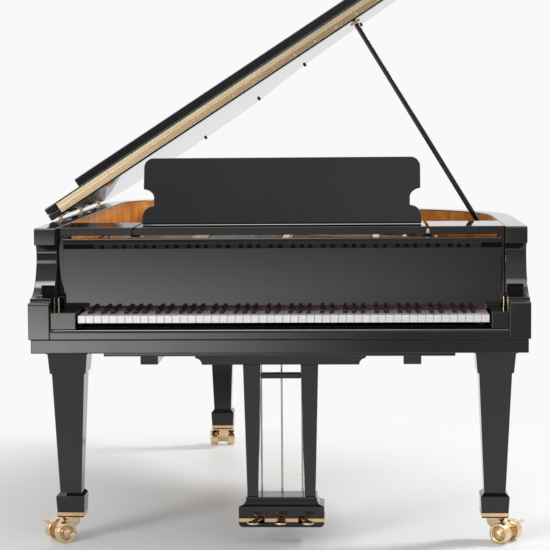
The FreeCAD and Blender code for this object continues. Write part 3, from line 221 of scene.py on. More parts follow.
# %% Give every node its finish
FINISHES = {"black_polish": polish, "case_wood": beech, "spruce": spruce, "gold_iron": gold_iron,
            "steel": steel, "brass": brass, "felt": wool_felt, "key_white": ivory,
            "key_black": ebony}
OWN_FINISHES = {"flap_leaf": hinge_brass, "lid_fittings": hinge_brass, "brass_bands": band_brass,
                "left_rod": nickel, "middle_rod": nickel, "right_rod": nickel, "inner_rim": maple,
                "pinblock": maple}
for node, piece in nodes.items():
    piece.data.materials.clear()
    piece.data.materials.append(OWN_FINISHES.get(node, FINISHES[slot_of[node]]))
print("every node has a finish,", len(OWN_FINISHES), "of them one of their own")

# %% [markdown]
# Each finished piece is told two things: the body that carries it, so that it moves with that
# body at every pose, and the imported nodes whose place it takes.

# %% A helper that puts a piece in the scene


def settle(piece, body, stands_for=()):
    """Put a finished piece in the scene on the body that carries it."""
    bpy.context.scene.collection.objects.link(piece)
    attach(piece, body)
    if stands_for:
        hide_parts(*stands_for)


# %% [markdown]
# A solid from the CAD has knife edges, and knife edges catch no light. A real lacquered edge is
# rounded by a few millimetres, and that thin bright line is what makes a black piano readable. The
# node itself stays as it is: a copy is welded, its flat triangles are dissolved, and a Bevel
# modifier with hardened normals rounds what is still sharp. The arms and the keyslip also have
# curved faces, and there the normals are weighted by area, so that the large flat faces stay flat.
# The keyslip's upper front edge is a nose with a larger radius.

# %% Helpers that round a node's edges
WELD = 1e-6
FLAT = math.radians(0.6)
SHARP = math.radians(20)
ROUND = math.radians(40)
EDGE_STEPS, NOSE_STEPS = 3, 8
CURVED = ("left_arm", "right_arm", "keyslip")
NOSES = {"keyslip": 0.010}
AREA_WEIGHT = 100


def welded(node):
    """A plain mesh of a node with its flat triangles dissolved."""
    source = nodes[node].data.copy()
    for layer in ("custom_normal", "sharp_edge", "sharp_face"):
        if layer in source.attributes:
            source.attributes.remove(source.attributes[layer])
    work = bmesh.new()
    work.from_mesh(source)
    bmesh.ops.remove_doubles(work, verts=work.verts, dist=WELD)
    bmesh.ops.dissolve_limit(work, angle_limit=FLAT, verts=work.verts, edges=work.edges)
    work.to_mesh(source)
    work.free()
    source.polygons.foreach_set("use_smooth", [True] * len(source.polygons))
    return source


def soften(piece, radius, sharp):
    """Round the sharp edges of a piece by a real radius, in metres."""
    bevel = piece.modifiers.new("rounded edges", "BEVEL")
    bevel.width = radius
    bevel.segments = EDGE_STEPS
    bevel.limit_method = "ANGLE"
    bevel.angle_limit = sharp
    bevel.harden_normals = True
    return piece


def nosed(mesh, radius):
    """Round the upper front edge of a mesh by a larger radius."""
    work = bmesh.new()
    work.from_mesh(mesh)
    top = max(vert.co.z for vert in work.verts)
    front = min(vert.co.y for vert in work.verts)
    nose = [edge for edge in work.edges
            if all(top - vert.co.z < WELD and vert.co.y - front < WELD for vert in edge.verts)]
    bmesh.ops.bevel(work, geom=nose, offset=radius, segments=NOSE_STEPS, affect="EDGES",
                    profile=0.5)
    for face in work.faces:
        face.smooth = True
    work.to_mesh(mesh)
    work.free()
    return mesh


def rounded(node, radius, sharp):
    """A rounded copy of a node, which takes the node's place."""
    mesh = nosed(welded(node), NOSES[node]) if node in NOSES else welded(node)
    piece = bpy.data.objects.new(node + "_rounded", mesh)
    soften(piece, radius, sharp)
    if node in CURVED:
        weighted = piece.modifiers.new("flat faces stay flat", "WEIGHTED_NORMAL")
        weighted.weight = AREA_WEIGHT
    settle(piece, body_of[node], [node])


print("edges count as sharp from", round(math.degrees(SHARP)), "degrees")

# %% [markdown]
# The case panels have generous edges, the legs slightly tighter ones, and the keys only just enough
# to be kind to the fingers. One table gives each radius in metres. Wheels and rods are many-sided,
# and a second table keeps the edges between their sides smooth.

# %% Round the case, the legs, the lyre and the keys
LEG_NAMES = ("front_left", "front_right", "rear")


def leg_parts(part):
    """The names of a part that every leg has."""
    return tuple(leg + "_" + part for leg in LEG_NAMES)


EDGE_RADII = {
    0.005: ("main_lid", "front_flap", "prop_stick", "left_arm", "right_arm"),
    0.003: ("outer_rim", "keybed", "fallboard", "lyre_box", "lyre_frame"),
    0.002: ("keyslip", "key_blocks", "underbed_frame", "desk_shelf", "side_shelves", "music_desk",
            "cast_plate") + leg_parts("leg"),
    0.0015: ("black_keys", "key_c_sharp", "key_d_sharp", "key_f_sharp") + leg_parts("caster_fork")
    + leg_parts("caster_brake"),
    0.001: ("white_keys", "key_c", "key_d", "key_e", "key_f", "key_g", "inner_rim", "back_frame",
            "pinblock", "bridges", "key_frame", "hammers"),
    0.0005: ("brass_bands",),
}
TURNED_RADII = {0.003: leg_parts("caster_wheels"),
                0.0005: ("left_rod", "middle_rod", "right_rod")}
for table, sharp in ((EDGE_RADII, SHARP), (TURNED_RADII, ROUND)):
    for radius, members in table.items():
        for node in members:
            rounded(node, radius, sharp)
        print("rounded", len(members), "nodes by", radius * 1000, "mm")

# %% [markdown]
# A pedal ends in a broad oval that is thinner than its stem, and the outer two splay a little. So
# the pedals are drawn anew from above: the outline of oval and stem is filled, raised and softened.

# %% The pedals
PEDAL_NODES = ("left_pedal", "middle_pedal", "right_pedal")
PEDAL_RADIUS, STEM_HALF, STEM_END = 0.0026, 0.008, 0.2
PEDAL_PITCH, PEDAL_SPLAY, SLOT_FRONT = 0.063, 0.020, 0.118
OVAL_WIDE, OVAL_DEEP, OVAL_LIFT = 0.018, 0.019, 0.004
OVAL_START, OVAL_END, OVAL_STEP = 120, 420, 15
pedal_low, pedal_top = (corner.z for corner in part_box("middle_pedal"))


def pedal_mesh(name, x, splay, tip):
    """A pedal from above: a straight stem and an oval tip whose underside is raised."""
    turns = [math.radians(angle) for angle in range(OVAL_START, OVAL_END + 1, OVAL_STEP)]
    oval = [(x + splay + OVAL_WIDE * math.cos(turn), tip + OVAL_DEEP + OVAL_DEEP * math.sin(turn))
            for turn in turns]
    stem = [(x + STEM_HALF, SLOT_FRONT), (x + STEM_HALF, STEM_END), (x - STEM_HALF, STEM_END),
            (x - STEM_HALF, SLOT_FRONT)]
    work = bmesh.new()
    under = [work.verts.new((*spot, pedal_low + OVAL_LIFT)) for spot in oval]
    under += [work.verts.new((*spot, pedal_low)) for spot in stem]
    over = [work.verts.new((vert.co.x, vert.co.y, pedal_top)) for vert in under]
    work.faces.new(over)
    work.faces.new(under[::-1])
    for spot in range(len(under)):
        after = (spot + 1) % len(under)
        side = work.faces.new((under[spot], under[after], over[after], over[spot]))
        side.smooth = True
    mesh = bpy.data.meshes.new(name)
    work.to_mesh(mesh)
    work.free()
    mesh.materials.append(brass)
    return mesh


for number, node in enumerate(PEDAL_NODES):
    x, splay = (number - 1) * PEDAL_PITCH, (number - 1) * PEDAL_SPLAY
    mesh = pedal_mesh(node + "_rounded", x, splay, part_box(node)[0].y)
    pedal = soften(bpy.data.objects.new(mesh.name, mesh), PEDAL_RADIUS, ROUND)
    settle(pedal, body_of[node], [node])
print(len(PEDAL_NODES), "pedals with oval tips")

# %% [markdown]
# Inside, a lot of small things repeat: strings, pins, bolts, dampers, screws. Geometry Nodes suit
# them, because one tree with a few named inputs can make them all. The helpers here start a tree,
# end it, and run it on a seed mesh. The result is read back as a plain mesh, so what leaves the
# script needs no modifier.

# %% Helpers that build a geometry tree and keep its result


def new_tree(name, **inputs):
    """A geometry tree with named inputs, and the sockets that hand them in."""
    tree = bpy.data.node_groups.new(name, "GeometryNodeTree")
    tree.interface.new_socket("Geometry", in_out="OUTPUT", socket_type="NodeSocketGeometry")
    for label, kind in {"Geometry": "Geometry", **inputs, "Finish": "Material"}.items():
        tree.interface.new_socket(label, in_out="INPUT", socket_type="NodeSocket" + kind)
    return tree, plug(tree, "NodeGroupInput")


def end_tree(tree, given, shape):
    """Realize what was instanced, set the finish and hand the result out."""
    plain = plug(tree, "GeometryNodeRealizeInstances", {"Geometry": shape})["Geometry"]
    painted = {"Geometry": plain, "Material": given["Finish"]}
    done = plug(tree, "GeometryNodeSetMaterial", painted)["Geometry"]
    plug(tree, "NodeGroupOutput", {"Geometry": done})


def seed_mesh(name, points, edges=(), facing=None):
    """Points, with edges or with a turn for each, that a tree starts from."""
    mesh = bpy.data.meshes.new(name)
    mesh.from_pydata(points, edges, [])
    if facing is not None:
        turns = mesh.attributes.new("facing", "FLOAT_VECTOR", "POINT")
        turns.data.foreach_set("vector", [angle for turn in facing for angle in turn])
    return mesh


def grown(name, mesh, tree, **inputs):
    """Run a tree on a seed mesh once, and keep the result as a plain piece."""
    seed = bpy.data.objects.new(name + "_seed", mesh)
    bpy.context.scene.collection.objects.link(seed)
    modifier = seed.modifiers.new(name, "NODES")
    modifier.node_group = tree
    for item in tree.interface.items_tree:
        if item.in_out == "INPUT" and item.name in inputs:
            modifier[item.identifier] = inputs[item.name]
    bpy.context.view_layer.update()
    graph = bpy.context.evaluated_depsgraph_get()
    result = bpy.data.meshes.new_from_object(seed.evaluated_get(graph))
    seed.modifiers.clear()
    bpy.data.objects.remove(seed)
    return bpy.data.objects.new(name, result)


print("helpers for geometry trees")

# %% [markdown]
# Three trees do the work. The first draws a tube along every edge of a seed mesh, the second puts a
# copy of a small object on every seed point and turns it as the point says, and the third runs a
# flat strip along a path.

# %% The three trees
wire_tree, given = new_tree("wires along edges", Radius="Float", Sides="Int")
lines = plug(wire_tree, "GeometryNodeMeshToCurve", {"Mesh": given["Geometry"]})["Curve"]
circle = {"Resolution": given["Sides"], "Radius": given["Radius"]}
ring = plug(wire_tree, "GeometryNodeCurvePrimitiveCircle", circle)["Curve"]
sweep = {"Curve": lines, "Profile Curve": ring, "Fill Caps": True}
end_tree(wire_tree, given, plug(wire_tree, "GeometryNodeCurveToMesh", sweep)["Mesh"])

copy_tree, given = new_tree("copies on points", Part="Object")
turn = plug(copy_tree, "GeometryNodeInputNamedAttribute", {"Name": "facing"},
            data_type="FLOAT_VECTOR")["Attribute"]
part = plug(copy_tree, "GeometryNodeObjectInfo", {"Object": given["Part"]})["Geometry"]
placing = {"Points": given["Geometry"], "Instance": part, "Rotation": turn}
end_tree(copy_tree, given, plug(copy_tree, "GeometryNodeInstanceOnPoints", placing)["Instances"])

strip_tree, given = new_tree("strip along a path", Thickness="Float", Height="Float")
path = plug(strip_tree, "GeometryNodeMeshToCurve", {"Mesh": given["Geometry"]})["Curve"]
path = plug(strip_tree, "GeometryNodeSetCurveNormal", {"Curve": path}, mode="Z_UP")["Curve"]
section = {"Width": given["Thickness"], "Height": given["Height"]}
section = plug(strip_tree, "GeometryNodeCurvePrimitiveQuadrilateral", section)["Curve"]
sweep = {"Curve": path, "Profile Curve": section, "Fill Caps": True}
end_tree(strip_tree, given, plug(strip_tree, "GeometryNodeCurveToMesh", sweep)["Mesh"])
print("trees:", wire_tree.name, "/", copy_tree.name, "/", strip_tree.name)

# %% [markdown]
# What lies along the rim follows the case's plan: straight, a bend, a hollow, the tail and straight
# again. The arcs come from the same few radii that shape the case, set in by a chosen distance.

# %% The case's plan
HALF, WALL = 0.746, 0.064
BEND_RADIUS, BEND_TURN, BEND_LINE = 0.560, math.radians(60), 0.700
HOLLOW_RADIUS, TAIL_TURN, TAIL_STRAIGHT = 0.900, math.radians(18), 0.140
BEND_STEPS, HOLLOW_STEPS, TAIL_STEPS = 24, 20, 48


def polar(centre, radius, angle):
    """A point at a distance and an angle from a centre."""
    return (centre[0] + radius * math.cos(angle), centre[1] + radius * math.sin(angle))


BEND_CENTRE = (HALF - BEND_RADIUS, BEND_LINE)
HOLLOW_CENTRE = polar(BEND_CENTRE, BEND_RADIUS + HOLLOW_RADIUS, BEND_TURN)
HOLLOW_END = polar(HOLLOW_CENTRE, -HOLLOW_RADIUS, TAIL_TURN)
TAIL_START = polar(HOLLOW_END, TAIL_STRAIGHT, TAIL_TURN + math.pi / 2)
TAIL_RADIUS = (TAIL_START[0] + HALF) / (1 + math.cos(TAIL_TURN))
TAIL_CENTRE = polar(TAIL_START, -TAIL_RADIUS, TAIL_TURN)


def arc(centre, radius, start, end, steps):
    """Points at even steps along an arc."""
    return [polar(centre, radius, start + (end - start) * step / steps)
            for step in range(steps + 1)]


def plan_line(inset, front):
    """The case's plan from the treble front round the tail to the bass front, set in by so much."""
    points = [(HALF - inset, front)]
    points += arc(BEND_CENTRE, BEND_RADIUS - inset, 0.0, BEND_TURN, BEND_STEPS)
    points += arc(HOLLOW_CENTRE, HOLLOW_RADIUS + inset, BEND_TURN + math.pi, TAIL_TURN + math.pi,
                  HOLLOW_STEPS)
    points += arc(TAIL_CENTRE, TAIL_RADIUS - inset, TAIL_TURN, math.pi, TAIL_STEPS)
    return points + [(inset - HALF, front)]


print("tail radius", round(TAIL_RADIUS, 3), "m")

# %% [markdown]
# The inside of the rim is faced with veneer above the strings, a warm band that shows under the
# open lid. The strip tree runs it along the plan.

# %% The veneer band inside the rim
BAND_LOW, BAND_TOP, BAND_THICK, BAND_FRONT = 0.882, 0.972, 0.002, 0.432
band_level = (BAND_LOW + BAND_TOP) / 2
band_spots = [(x, y, band_level) for x, y in plan_line(WALL + BAND_THICK / 2, BAND_FRONT)]
band_edges = [(spot, spot + 1) for spot in range(len(band_spots) - 1)]
rim_band = grown("rim_veneer_band", seed_mesh("rim_band_path", band_spots, band_edges), strip_tree,
                 Thickness=BAND_THICK, Height=BAND_TOP - BAND_LOW, Finish=veneer)
settle(rim_band, "case")
print("veneer band", len(rim_band.data.polygons), "faces")

# %% [markdown]
# A node can hold many loose solids, such as all the strings. The helper here finds them by walking
# from corner to corner along the edges, and gives each one's box.

# %% A helper that finds the loose solids of a node


def islands(node):
    """The lowest and highest corner of every separate solid in a node, from bass to treble."""
    work = bmesh.new()
    work.from_mesh(nodes[node].data)
    bmesh.ops.remove_doubles(work, verts=work.verts, dist=WELD)
    seen, found = set(), []
    for first in work.verts:
        if first in seen:
            continue
        seen.add(first)
        queue, corners = [first], []
        while queue:
            vert = queue.pop()
            corners.append(vert.co.copy())
            for edge in vert.link_edges:
                other = edge.other_vert(vert)
                if other not in seen:
                    seen.add(other)
                    queue.append(other)
        found.append([Vector([pick(corner[axis] for corner in corners) for axis in range(3)])
                      for pick in (min, max)])
    work.free()
    return sorted(found, key=lambda box: box[0].x + box[1].x)


notes = islands("strings")
print(len(notes), "notes")

# %% [markdown]
# Each packed string stands for a note. A real note has three steel wires in the treble and the
# tenor and one or two copper-wound wires in the bass, each on a tuning pin of its own. The boxes of
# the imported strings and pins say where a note's wires run.

# %% Lay out the wires of each note
BASS_NOTES, SINGLE_NOTES = 20, 8
WIRE_APART, PIN_APART = 0.0024, 0.0095
wires = {"steel": [], "copper": []}
pin_feet = []
for number, ((low, high), (pin_low, pin_high)) in enumerate(zip(notes, islands("tuning_pins"))):
    kind = "copper" if number < BASS_NOTES else "steel"
    count = 1 if number < SINGLE_NOTES else 2 if number < BASS_NOTES else 3
    x, level = (low.x + high.x) / 2, (low.z + high.z) / 2
    for wire in range(count):
        across = x + (wire - (count - 1) / 2) * WIRE_APART
        pin_y = (pin_low.y + pin_high.y) / 2 + wire * PIN_APART
        pin_feet.append((across, pin_y, pin_low.z))
        wires[kind].append(((across, pin_y, level), (across, high.y, level)))
print(len(wires["steel"]), "steel wires and", len(wires["copper"]), "copper ones")

# %% [markdown]
# The wires are edges of a seed mesh, and the wire tree gives them their thickness. Wound strings
# are thicker than plain ones.

# %% The strings
WIRE_SIDES = 6
STRING_LOOKS = (("steel", 0.00055, steel, ["strings"]), ("copper", 0.0014, copper, []))
for kind, radius, look, stands_for in STRING_LOOKS:
    ends = [end for wire in wires[kind] for end in wire]
    edges = [(2 * wire, 2 * wire + 1) for wire in range(len(wires[kind]))]
    piece = grown(kind + "_strings", seed_mesh(kind + "_string_ends", ends, edges), wire_tree,
                  Radius=radius, Sides=WIRE_SIDES, Finish=look)
    settle(piece, "case", stands_for)
    print(piece.name, len(piece.data.polygons), "faces")

# %% [markdown]
# Pins, studs, bolts, screws, buttons and caps are turned parts. Each is one small mesh, drawn as a
# profile that goes round the Z axis, and the copy tree puts it where it is needed.

# %% Helpers for turned parts


def lathe(name, profile, sides):
    """A small turned part on the Z axis: a list of (radius, height) from the bottom up."""
    work = bmesh.new()
    turns = [2 * math.pi * side / sides for side in range(sides)]
    rings = [[work.verts.new((radius * math.cos(turn), radius * math.sin(turn), height))
              for turn in turns] for radius, height in profile]
    for below, above in zip(rings, rings[1:]):
        for side in range(sides):
            after = (side + 1) % sides
            work.faces.new((below[side], below[after], above[after], above[side]))
    work.faces.new(rings[0][::-1])
    work.faces.new(rings[-1])
    mesh = bpy.data.meshes.new(name)
    work.to_mesh(mesh)
    work.free()
    return mesh


def copies(name, part_mesh, points, look, facing=None):
    """A part, copied to every point by the copy tree."""
    part = bpy.data.objects.new(part_mesh.name, part_mesh)
    turns = facing or [(0.0, 0.0, 0.0)] * len(points)
    seed = seed_mesh(name + "_points", points, facing=turns)
    piece = grown(name, seed, copy_tree, Part=part, Finish=look)
    bpy.data.objects.remove(part)
    return piece


print("copies are made by the tree", copy_tree.name)

# %% [markdown]
# A tuning pin is a steel pin with a narrower top for the tuner's key, and a coil of wire lies round
# it. It has only a few dozen faces, because there are over two hundred of them.

# %% The tuning pins
PIN_SIDES = 8
PIN_PROFILE = [(0.0034, 0.0), (0.0034, 0.0042), (0.0042, 0.0046), (0.0042, 0.0085),
               (0.0034, 0.009), (0.0034, 0.014), (0.0030, 0.0145), (0.0024, 0.022)]
pin_mesh = lathe("tuning_pin", PIN_PROFILE, PIN_SIDES)
settle(copies("turned_pins", pin_mesh, pin_feet, steel), "case", ["tuning_pins"])
print(len(pin_feet), "tuning pins")

# %% [markdown]
# In front of the strike line every note passes through an agraffe, a small brass stud that sets
# the end of the sounding length. Bolts with wide heads hold the plate down along the rim.

# %% Agraffes and plate bolts
PLATE_TOP = 0.880
STUD_LINE, STUD_SIDES = 0.368, 8
STUD_PROFILE = [(0.0046, 0.0), (0.0046, 0.0012), (0.0036, 0.0016), (0.0036, 0.0052),
                (0.0022, 0.0062)]
BOLT_INSET, BOLT_FRONT, BOLT_APART, BOLT_SIDES = 0.100, 0.52, 0.135, 12
BOLT_PROFILE = [(0.013, 0.0), (0.013, 0.002), (0.0115, 0.0032), (0.0085, 0.0034),
                (0.0085, 0.0075), (0.007, 0.009)]


def spaced(points, apart):
    """Points at even steps along a line."""
    spots, left = [], 0.0
    for start, end in zip(points, points[1:]):
        length = math.dist(start, end)
        while left < length:
            share = left / length
            spots.append(tuple(a + (b - a) * share for a, b in zip(start, end)))
            left += apart
        left -= length
    return spots


studs = [((low.x + high.x) / 2, STUD_LINE, PLATE_TOP) for low, high in notes]
agraffes = copies("agraffes", lathe("agraffe", STUD_PROFILE, STUD_SIDES), studs, brass)
settle(agraffes, "case")
bolts = [(x, y, PLATE_TOP) for x, y in spaced(plan_line(BOLT_INSET, BOLT_FRONT), BOLT_APART)]
plate_bolts = copies("plate_bolts", lathe("plate_bolt", BOLT_PROFILE, BOLT_SIDES), bolts, brass)
settle(plate_bolts, "case")
print(len(studs), "agraffes and", len(bolts), "bolts")

# %% [markdown]
# A damper is a black wooden head with white felt under it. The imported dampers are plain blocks, so
# each is split in two here: the felt takes the lower third and the head the rest, with sloped
# shoulders. Both rise with the right pedal.

# %% The dampers
FELT_SHARE, FELT_WIDE, SHOULDER = 0.34, 0.9, 0.72


def bar_mesh(name, outline, width):
    """A side view in Y and Z, counter-clockwise seen from the treble, pushed out both ways in X."""
    count = len(outline)
    points = [(x, y, z) for x in (-width / 2, width / 2) for y, z in outline]
    faces = [tuple(range(count))[::-1], tuple(range(count, 2 * count))]
    for spot in range(count):
        after = (spot + 1) % count
        faces.append((spot, after, count + after, count + spot))
    mesh = bpy.data.meshes.new(name)
    mesh.from_pydata(points, [], faces)
    return mesh


damper_boxes = islands("dampers")
wide, deep, high = damper_boxes[0][1] - damper_boxes[0][0]
felt_high, shoulder = high * FELT_SHARE, high * SHOULDER
feet = [(box[0] + box[1]) / 2 - Vector((0, 0, high / 2)) for box in damper_boxes]
felt_shape = [(-deep / 2, 0.0), (-deep / 6, 0.0), (-deep / 12, felt_high / 2),
              (deep / 12, felt_high / 2), (deep / 6, 0.0), (deep / 2, 0.0), (deep / 2, felt_high),
              (-deep / 2, felt_high)]
head_shape = [(-deep / 2, felt_high), (deep / 2, felt_high), (deep / 2, shoulder),
              (deep / 3, high), (-deep / 3, high), (-deep / 2, shoulder)]
heads = copies("damper_heads", bar_mesh("damper_head", head_shape, wide), feet, polish)
settle(heads, "dampers", ["dampers"])
felt_mesh = bar_mesh("damper_felt", felt_shape, wide * FELT_WIDE)
settle(copies("damper_felts", felt_mesh, feet, wool_felt), "dampers")
print(len(feet), "dampers")

# %% [markdown]
# The flap is hinged to the lid by a long brass hinge with countersunk screws, and rubber buttons
# under the lid keep it off the rim. The lid stands open at rest, so what sits on it is laid out as
# if the lid were shut and then swung up about the spine hinge.

# %% Screws of the long hinge, and the rubber buttons under the lid
HINGE_X, HINGE_Z = -0.740, 0.979
SWING = (Matrix.Translation((HINGE_X, 0, HINGE_Z)) @ Matrix.Rotation(-LID_ANGLE, 4, "Y")
         @ Matrix.Translation((-HINGE_X, 0, -HINGE_Z)))
LID_TURN = (0.0, -LID_ANGLE, 0.0)
FOLD_LEVEL, LEAF_FACE, LEAF_HALF, LEAF_HIGH = 1.0053, 0.5021, 0.711, 0.0165
SCREW_APART, SCREW_OFF_FOLD, SCREW_SIDES = 0.079, LEAF_HIGH * 0.6, 10
SCREW_PROFILE = [(0.0030, -0.0006), (0.0030, 0.0002), (0.0024, 0.0005), (0.0008, 0.0005),
                 (0.0006, 0.0001)]
LID_LOW, BUTTON_SIDES = 0.983, 16
BUTTON_PROFILE = [(0.0055, 0.0), (0.0055, 0.004), (0.005, 0.006), (0.0036, 0.0072),
                  (0.0016, 0.0075)]
BUTTON_SPOTS = ((0.445, 1.16), (0.20, 1.36), (-0.02, 1.67), (-0.30, 2.03), (0.70, 0.78))

screw_mesh = lathe("hinge_screw", SCREW_PROFILE, SCREW_SIDES)
screw_mesh.transform(Matrix.Rotation(math.pi / 2, 4, "X"))
screw_count = int(2 * LEAF_HALF / SCREW_APART)
for body, side in (("lid", -1), ("flap", 1)):
    level = FOLD_LEVEL + side * SCREW_OFF_FOLD
    spots = [SWING @ Vector((-LEAF_HALF + SCREW_APART * (number + 0.5), LEAF_FACE, level))
             for number in range(screw_count)]
    screws = copies(body + "_hinge_screws", screw_mesh, spots, brass, [LID_TURN] * screw_count)
    settle(screws, body)
button_mesh = lathe("lid_button", BUTTON_PROFILE, BUTTON_SIDES)
button_mesh.transform(Matrix.Rotation(math.pi, 4, "X"))
spots = [SWING @ Vector((x, y, LID_LOW)) for x, y in BUTTON_SPOTS]
buttons = copies("lid_buttons", button_mesh, spots, rubber, [LID_TURN] * len(spots))
settle(buttons, "lid")
print(2 * screw_count, "screws and", len(spots), "buttons")

# %% [markdown]
# Along the back of the keys lies a strip of red felt, which the fallboard's lower edge closes on.
# Only a thin red line of it shows between the keys and the board. Red felt also lines the slots
# that the pedals come out of, at the top and at both sides.

# %% Red felt behind the keys and at the pedals
KEY_FELT_FRONT, KEY_FELT_BACK = 0.1465, 0.1497
KEY_FELT_LOW, KEY_FELT_TOP = 0.7203, 0.7265
KEY_FELT_SOFT, SLOT_FELT_SOFT = 0.0004, 0.001
SLOT_HALF, LINING = 0.0118, 0.0028
FELT_FRONT, FELT_BACK = SLOT_FRONT + 0.0005, SLOT_FRONT + 0.006
FELT_LOW, FELT_TOP_LOW, FELT_TOP = pedal_low - 0.006, pedal_top + 0.003, pedal_top + 0.0056
SLOT_FELTS = (("top", -SLOT_HALF, SLOT_HALF, FELT_TOP_LOW),
              ("left", -SLOT_HALF, LINING - SLOT_HALF, FELT_LOW),
              ("right", SLOT_HALF - LINING, SLOT_HALF, FELT_LOW))


def slab(name, low, high, look, radius):
    """A soft-edged bar between two corners."""
    work = bmesh.new()
    bmesh.ops.create_cube(work, size=1.0)
    for vert in work.verts:
        vert.co = Vector([a + (b - a) * (part + 0.5) for a, b, part in zip(low, high, vert.co)])
    bmesh.ops.bevel(work, geom=work.edges[:], offset=radius, segments=2, affect="EDGES",
                    profile=0.5)
    mesh = bpy.data.meshes.new(name)
    work.to_mesh(mesh)
    work.free()
    mesh.materials.append(look)
    return bpy.data.objects.new(name, mesh)


keys_low, keys_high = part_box("white_keys")
key_felt = slab("key_felt", (keys_low.x, KEY_FELT_FRONT, KEY_FELT_LOW),
                (keys_high.x, KEY_FELT_BACK, KEY_FELT_TOP), red_felt, KEY_FELT_SOFT)
settle(key_felt, "case")
for number, node in enumerate(PEDAL_NODES):
    x = (number - 1) * PEDAL_PITCH
    for part, left, right, low in SLOT_FELTS:
        felt = slab(node + "_felt_" + part, (x + left, FELT_FRONT, low),
                    (x + right, FELT_BACK, FELT_TOP), red_felt, SLOT_FELT_SOFT)
        settle(felt, "case")
print("felt strip", round(keys_high.x - keys_low.x, 3), "m long, and felt in three slots")

# %% [markdown]
# On each key block stands a brass pin. Each caster's brake ends in a cross-bar for the foot. Both
# are short wires, so the wire tree draws them: the pins stand up and the bars follow their caster's
# turn about the leg. In the dish of each wheel lies a turned cap, a ring with a cone in the middle.

# %% Pins on the key blocks, cross-bars on the brakes and caps in the wheels
PIN_SIDE, PIN_LINE, PIN_RADIUS = 0.6765, 0.125, 0.0034
BLOCK_TOP, PIN_HIGH = 0.729, 0.033
BAR_HALF, BAR_BACK, BAR_LEVEL, BAR_RADIUS = 0.019, 0.0935, 0.0705, 0.0042
ROD_SIDES = 12
CASTER_TURNS = {"front_left": -55, "front_right": 55, "rear": 190}
DISH_SIDE, TRAIL, AXLE_LEVEL, CAP_SIDES = 0.0395, 0.042, 0.032, 32
CAP_PROFILE = [(0.0207, 0.0002), (0.0207, 0.0045), (0.0198, 0.0055), (0.0185, 0.0055),
               (0.0176, 0.0045), (0.0150, 0.0012), (0.0128, 0.0012), (0.0116, 0.0068),
               (0.0105, 0.0078), (0.0040, 0.0098), (0.0015, 0.0100)]

pin_ends = [(x, PIN_LINE, level) for x in (-PIN_SIDE, PIN_SIDE)
            for level in (BLOCK_TOP, BLOCK_TOP + PIN_HIGH)]
block_pins = grown("key_block_pins", seed_mesh("key_block_pin_ends", pin_ends, [(0, 1), (2, 3)]),
                   wire_tree, Radius=PIN_RADIUS, Sides=ROD_SIDES, Finish=brass)
settle(block_pins, "case")
cap_mesh = lathe("wheel_cap", CAP_PROFILE, CAP_SIDES)
for leg, angle in CASTER_TURNS.items():
    low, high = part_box(leg + "_leg")
    under = Vector(((low.x + high.x) / 2, (low.y + high.y) / 2, 0))
    turn = math.radians(angle)
    place = Matrix.Translation(under) @ Matrix.Rotation(turn, 4, "Z")
    ends = [place @ Vector((side * BAR_HALF, -BAR_BACK, BAR_LEVEL)) for side in (-1, 1)]
    bar = grown(leg + "_brake_bar", seed_mesh(leg + "_brake_bar_ends", ends, [(0, 1)]), wire_tree,
                Radius=BAR_RADIUS, Sides=ROD_SIDES, Finish=brass)
    settle(bar, leg + "_brake")
    dishes = [place @ Vector((side * DISH_SIDE, -TRAIL, AXLE_LEVEL)) for side in (-1, 1)]
    outward = [(0.0, side * math.pi / 2, turn) for side in (-1, 1)]
    caps = copies(leg + "_wheel_caps", cap_mesh, dishes, brass, outward)
    settle(caps, leg + "_wheels")
print(len(pin_ends) // 2, "pins,", len(CASTER_TURNS), "cross-bars and", 2 * len(CASTER_TURNS),
      "wheel caps")

# %% [markdown]
# The floor and the room's light change from place to place and from direction to direction. Three
# helpers write such changes as nodes: a value that fades along a span, two values that are joined,
# and a mix of two.

# %% Helpers for light that fades


def fades(tree, value, span, low, high, kind="LINEAR"):
    """A value that runs from low to high while another runs along a span."""
    reach = {"Value": value, "From Min": span[0], "From Max": span[1], "To Min": low,
             "To Max": high}
    return plug(tree, "ShaderNodeMapRange", reach, interpolation_type=kind)["Result"]


def joined(tree, operation, first, second):
    """Two values joined by a sum, a product or the like."""
    return plug(tree, "ShaderNodeMath", {0: first, 1: second}, operation=operation)[0]


def mixed(tree, share, first, second):
    """The first value, or the second where the share is full."""
    return plug(tree, "ShaderNodeMix", {"Factor": share, "A": first, "B": second})["Result"]


print("helpers for fades, sums and mixes")

# %% [markdown]
# The room starts with a pale floor. It ends in front of the camera, so it hides nothing that the
# lacquer should reflect from behind the camera. Far from the piano it fades into the white
# background, so no horizon shows. Near the piano it keeps the shadows.

# %% The floor
WHITE = 0.945
PLAIN_WHITE = (1.0, 1.0, 1.0, 1.0)
FLOOR_X, FLOOR_FRONT, FLOOR_BACK = 40.0, -4.6, 40.0
FADE_CENTRE, FADE_SPAN = (-0.1, 0.6, 0.0), (0.75, 2.2)

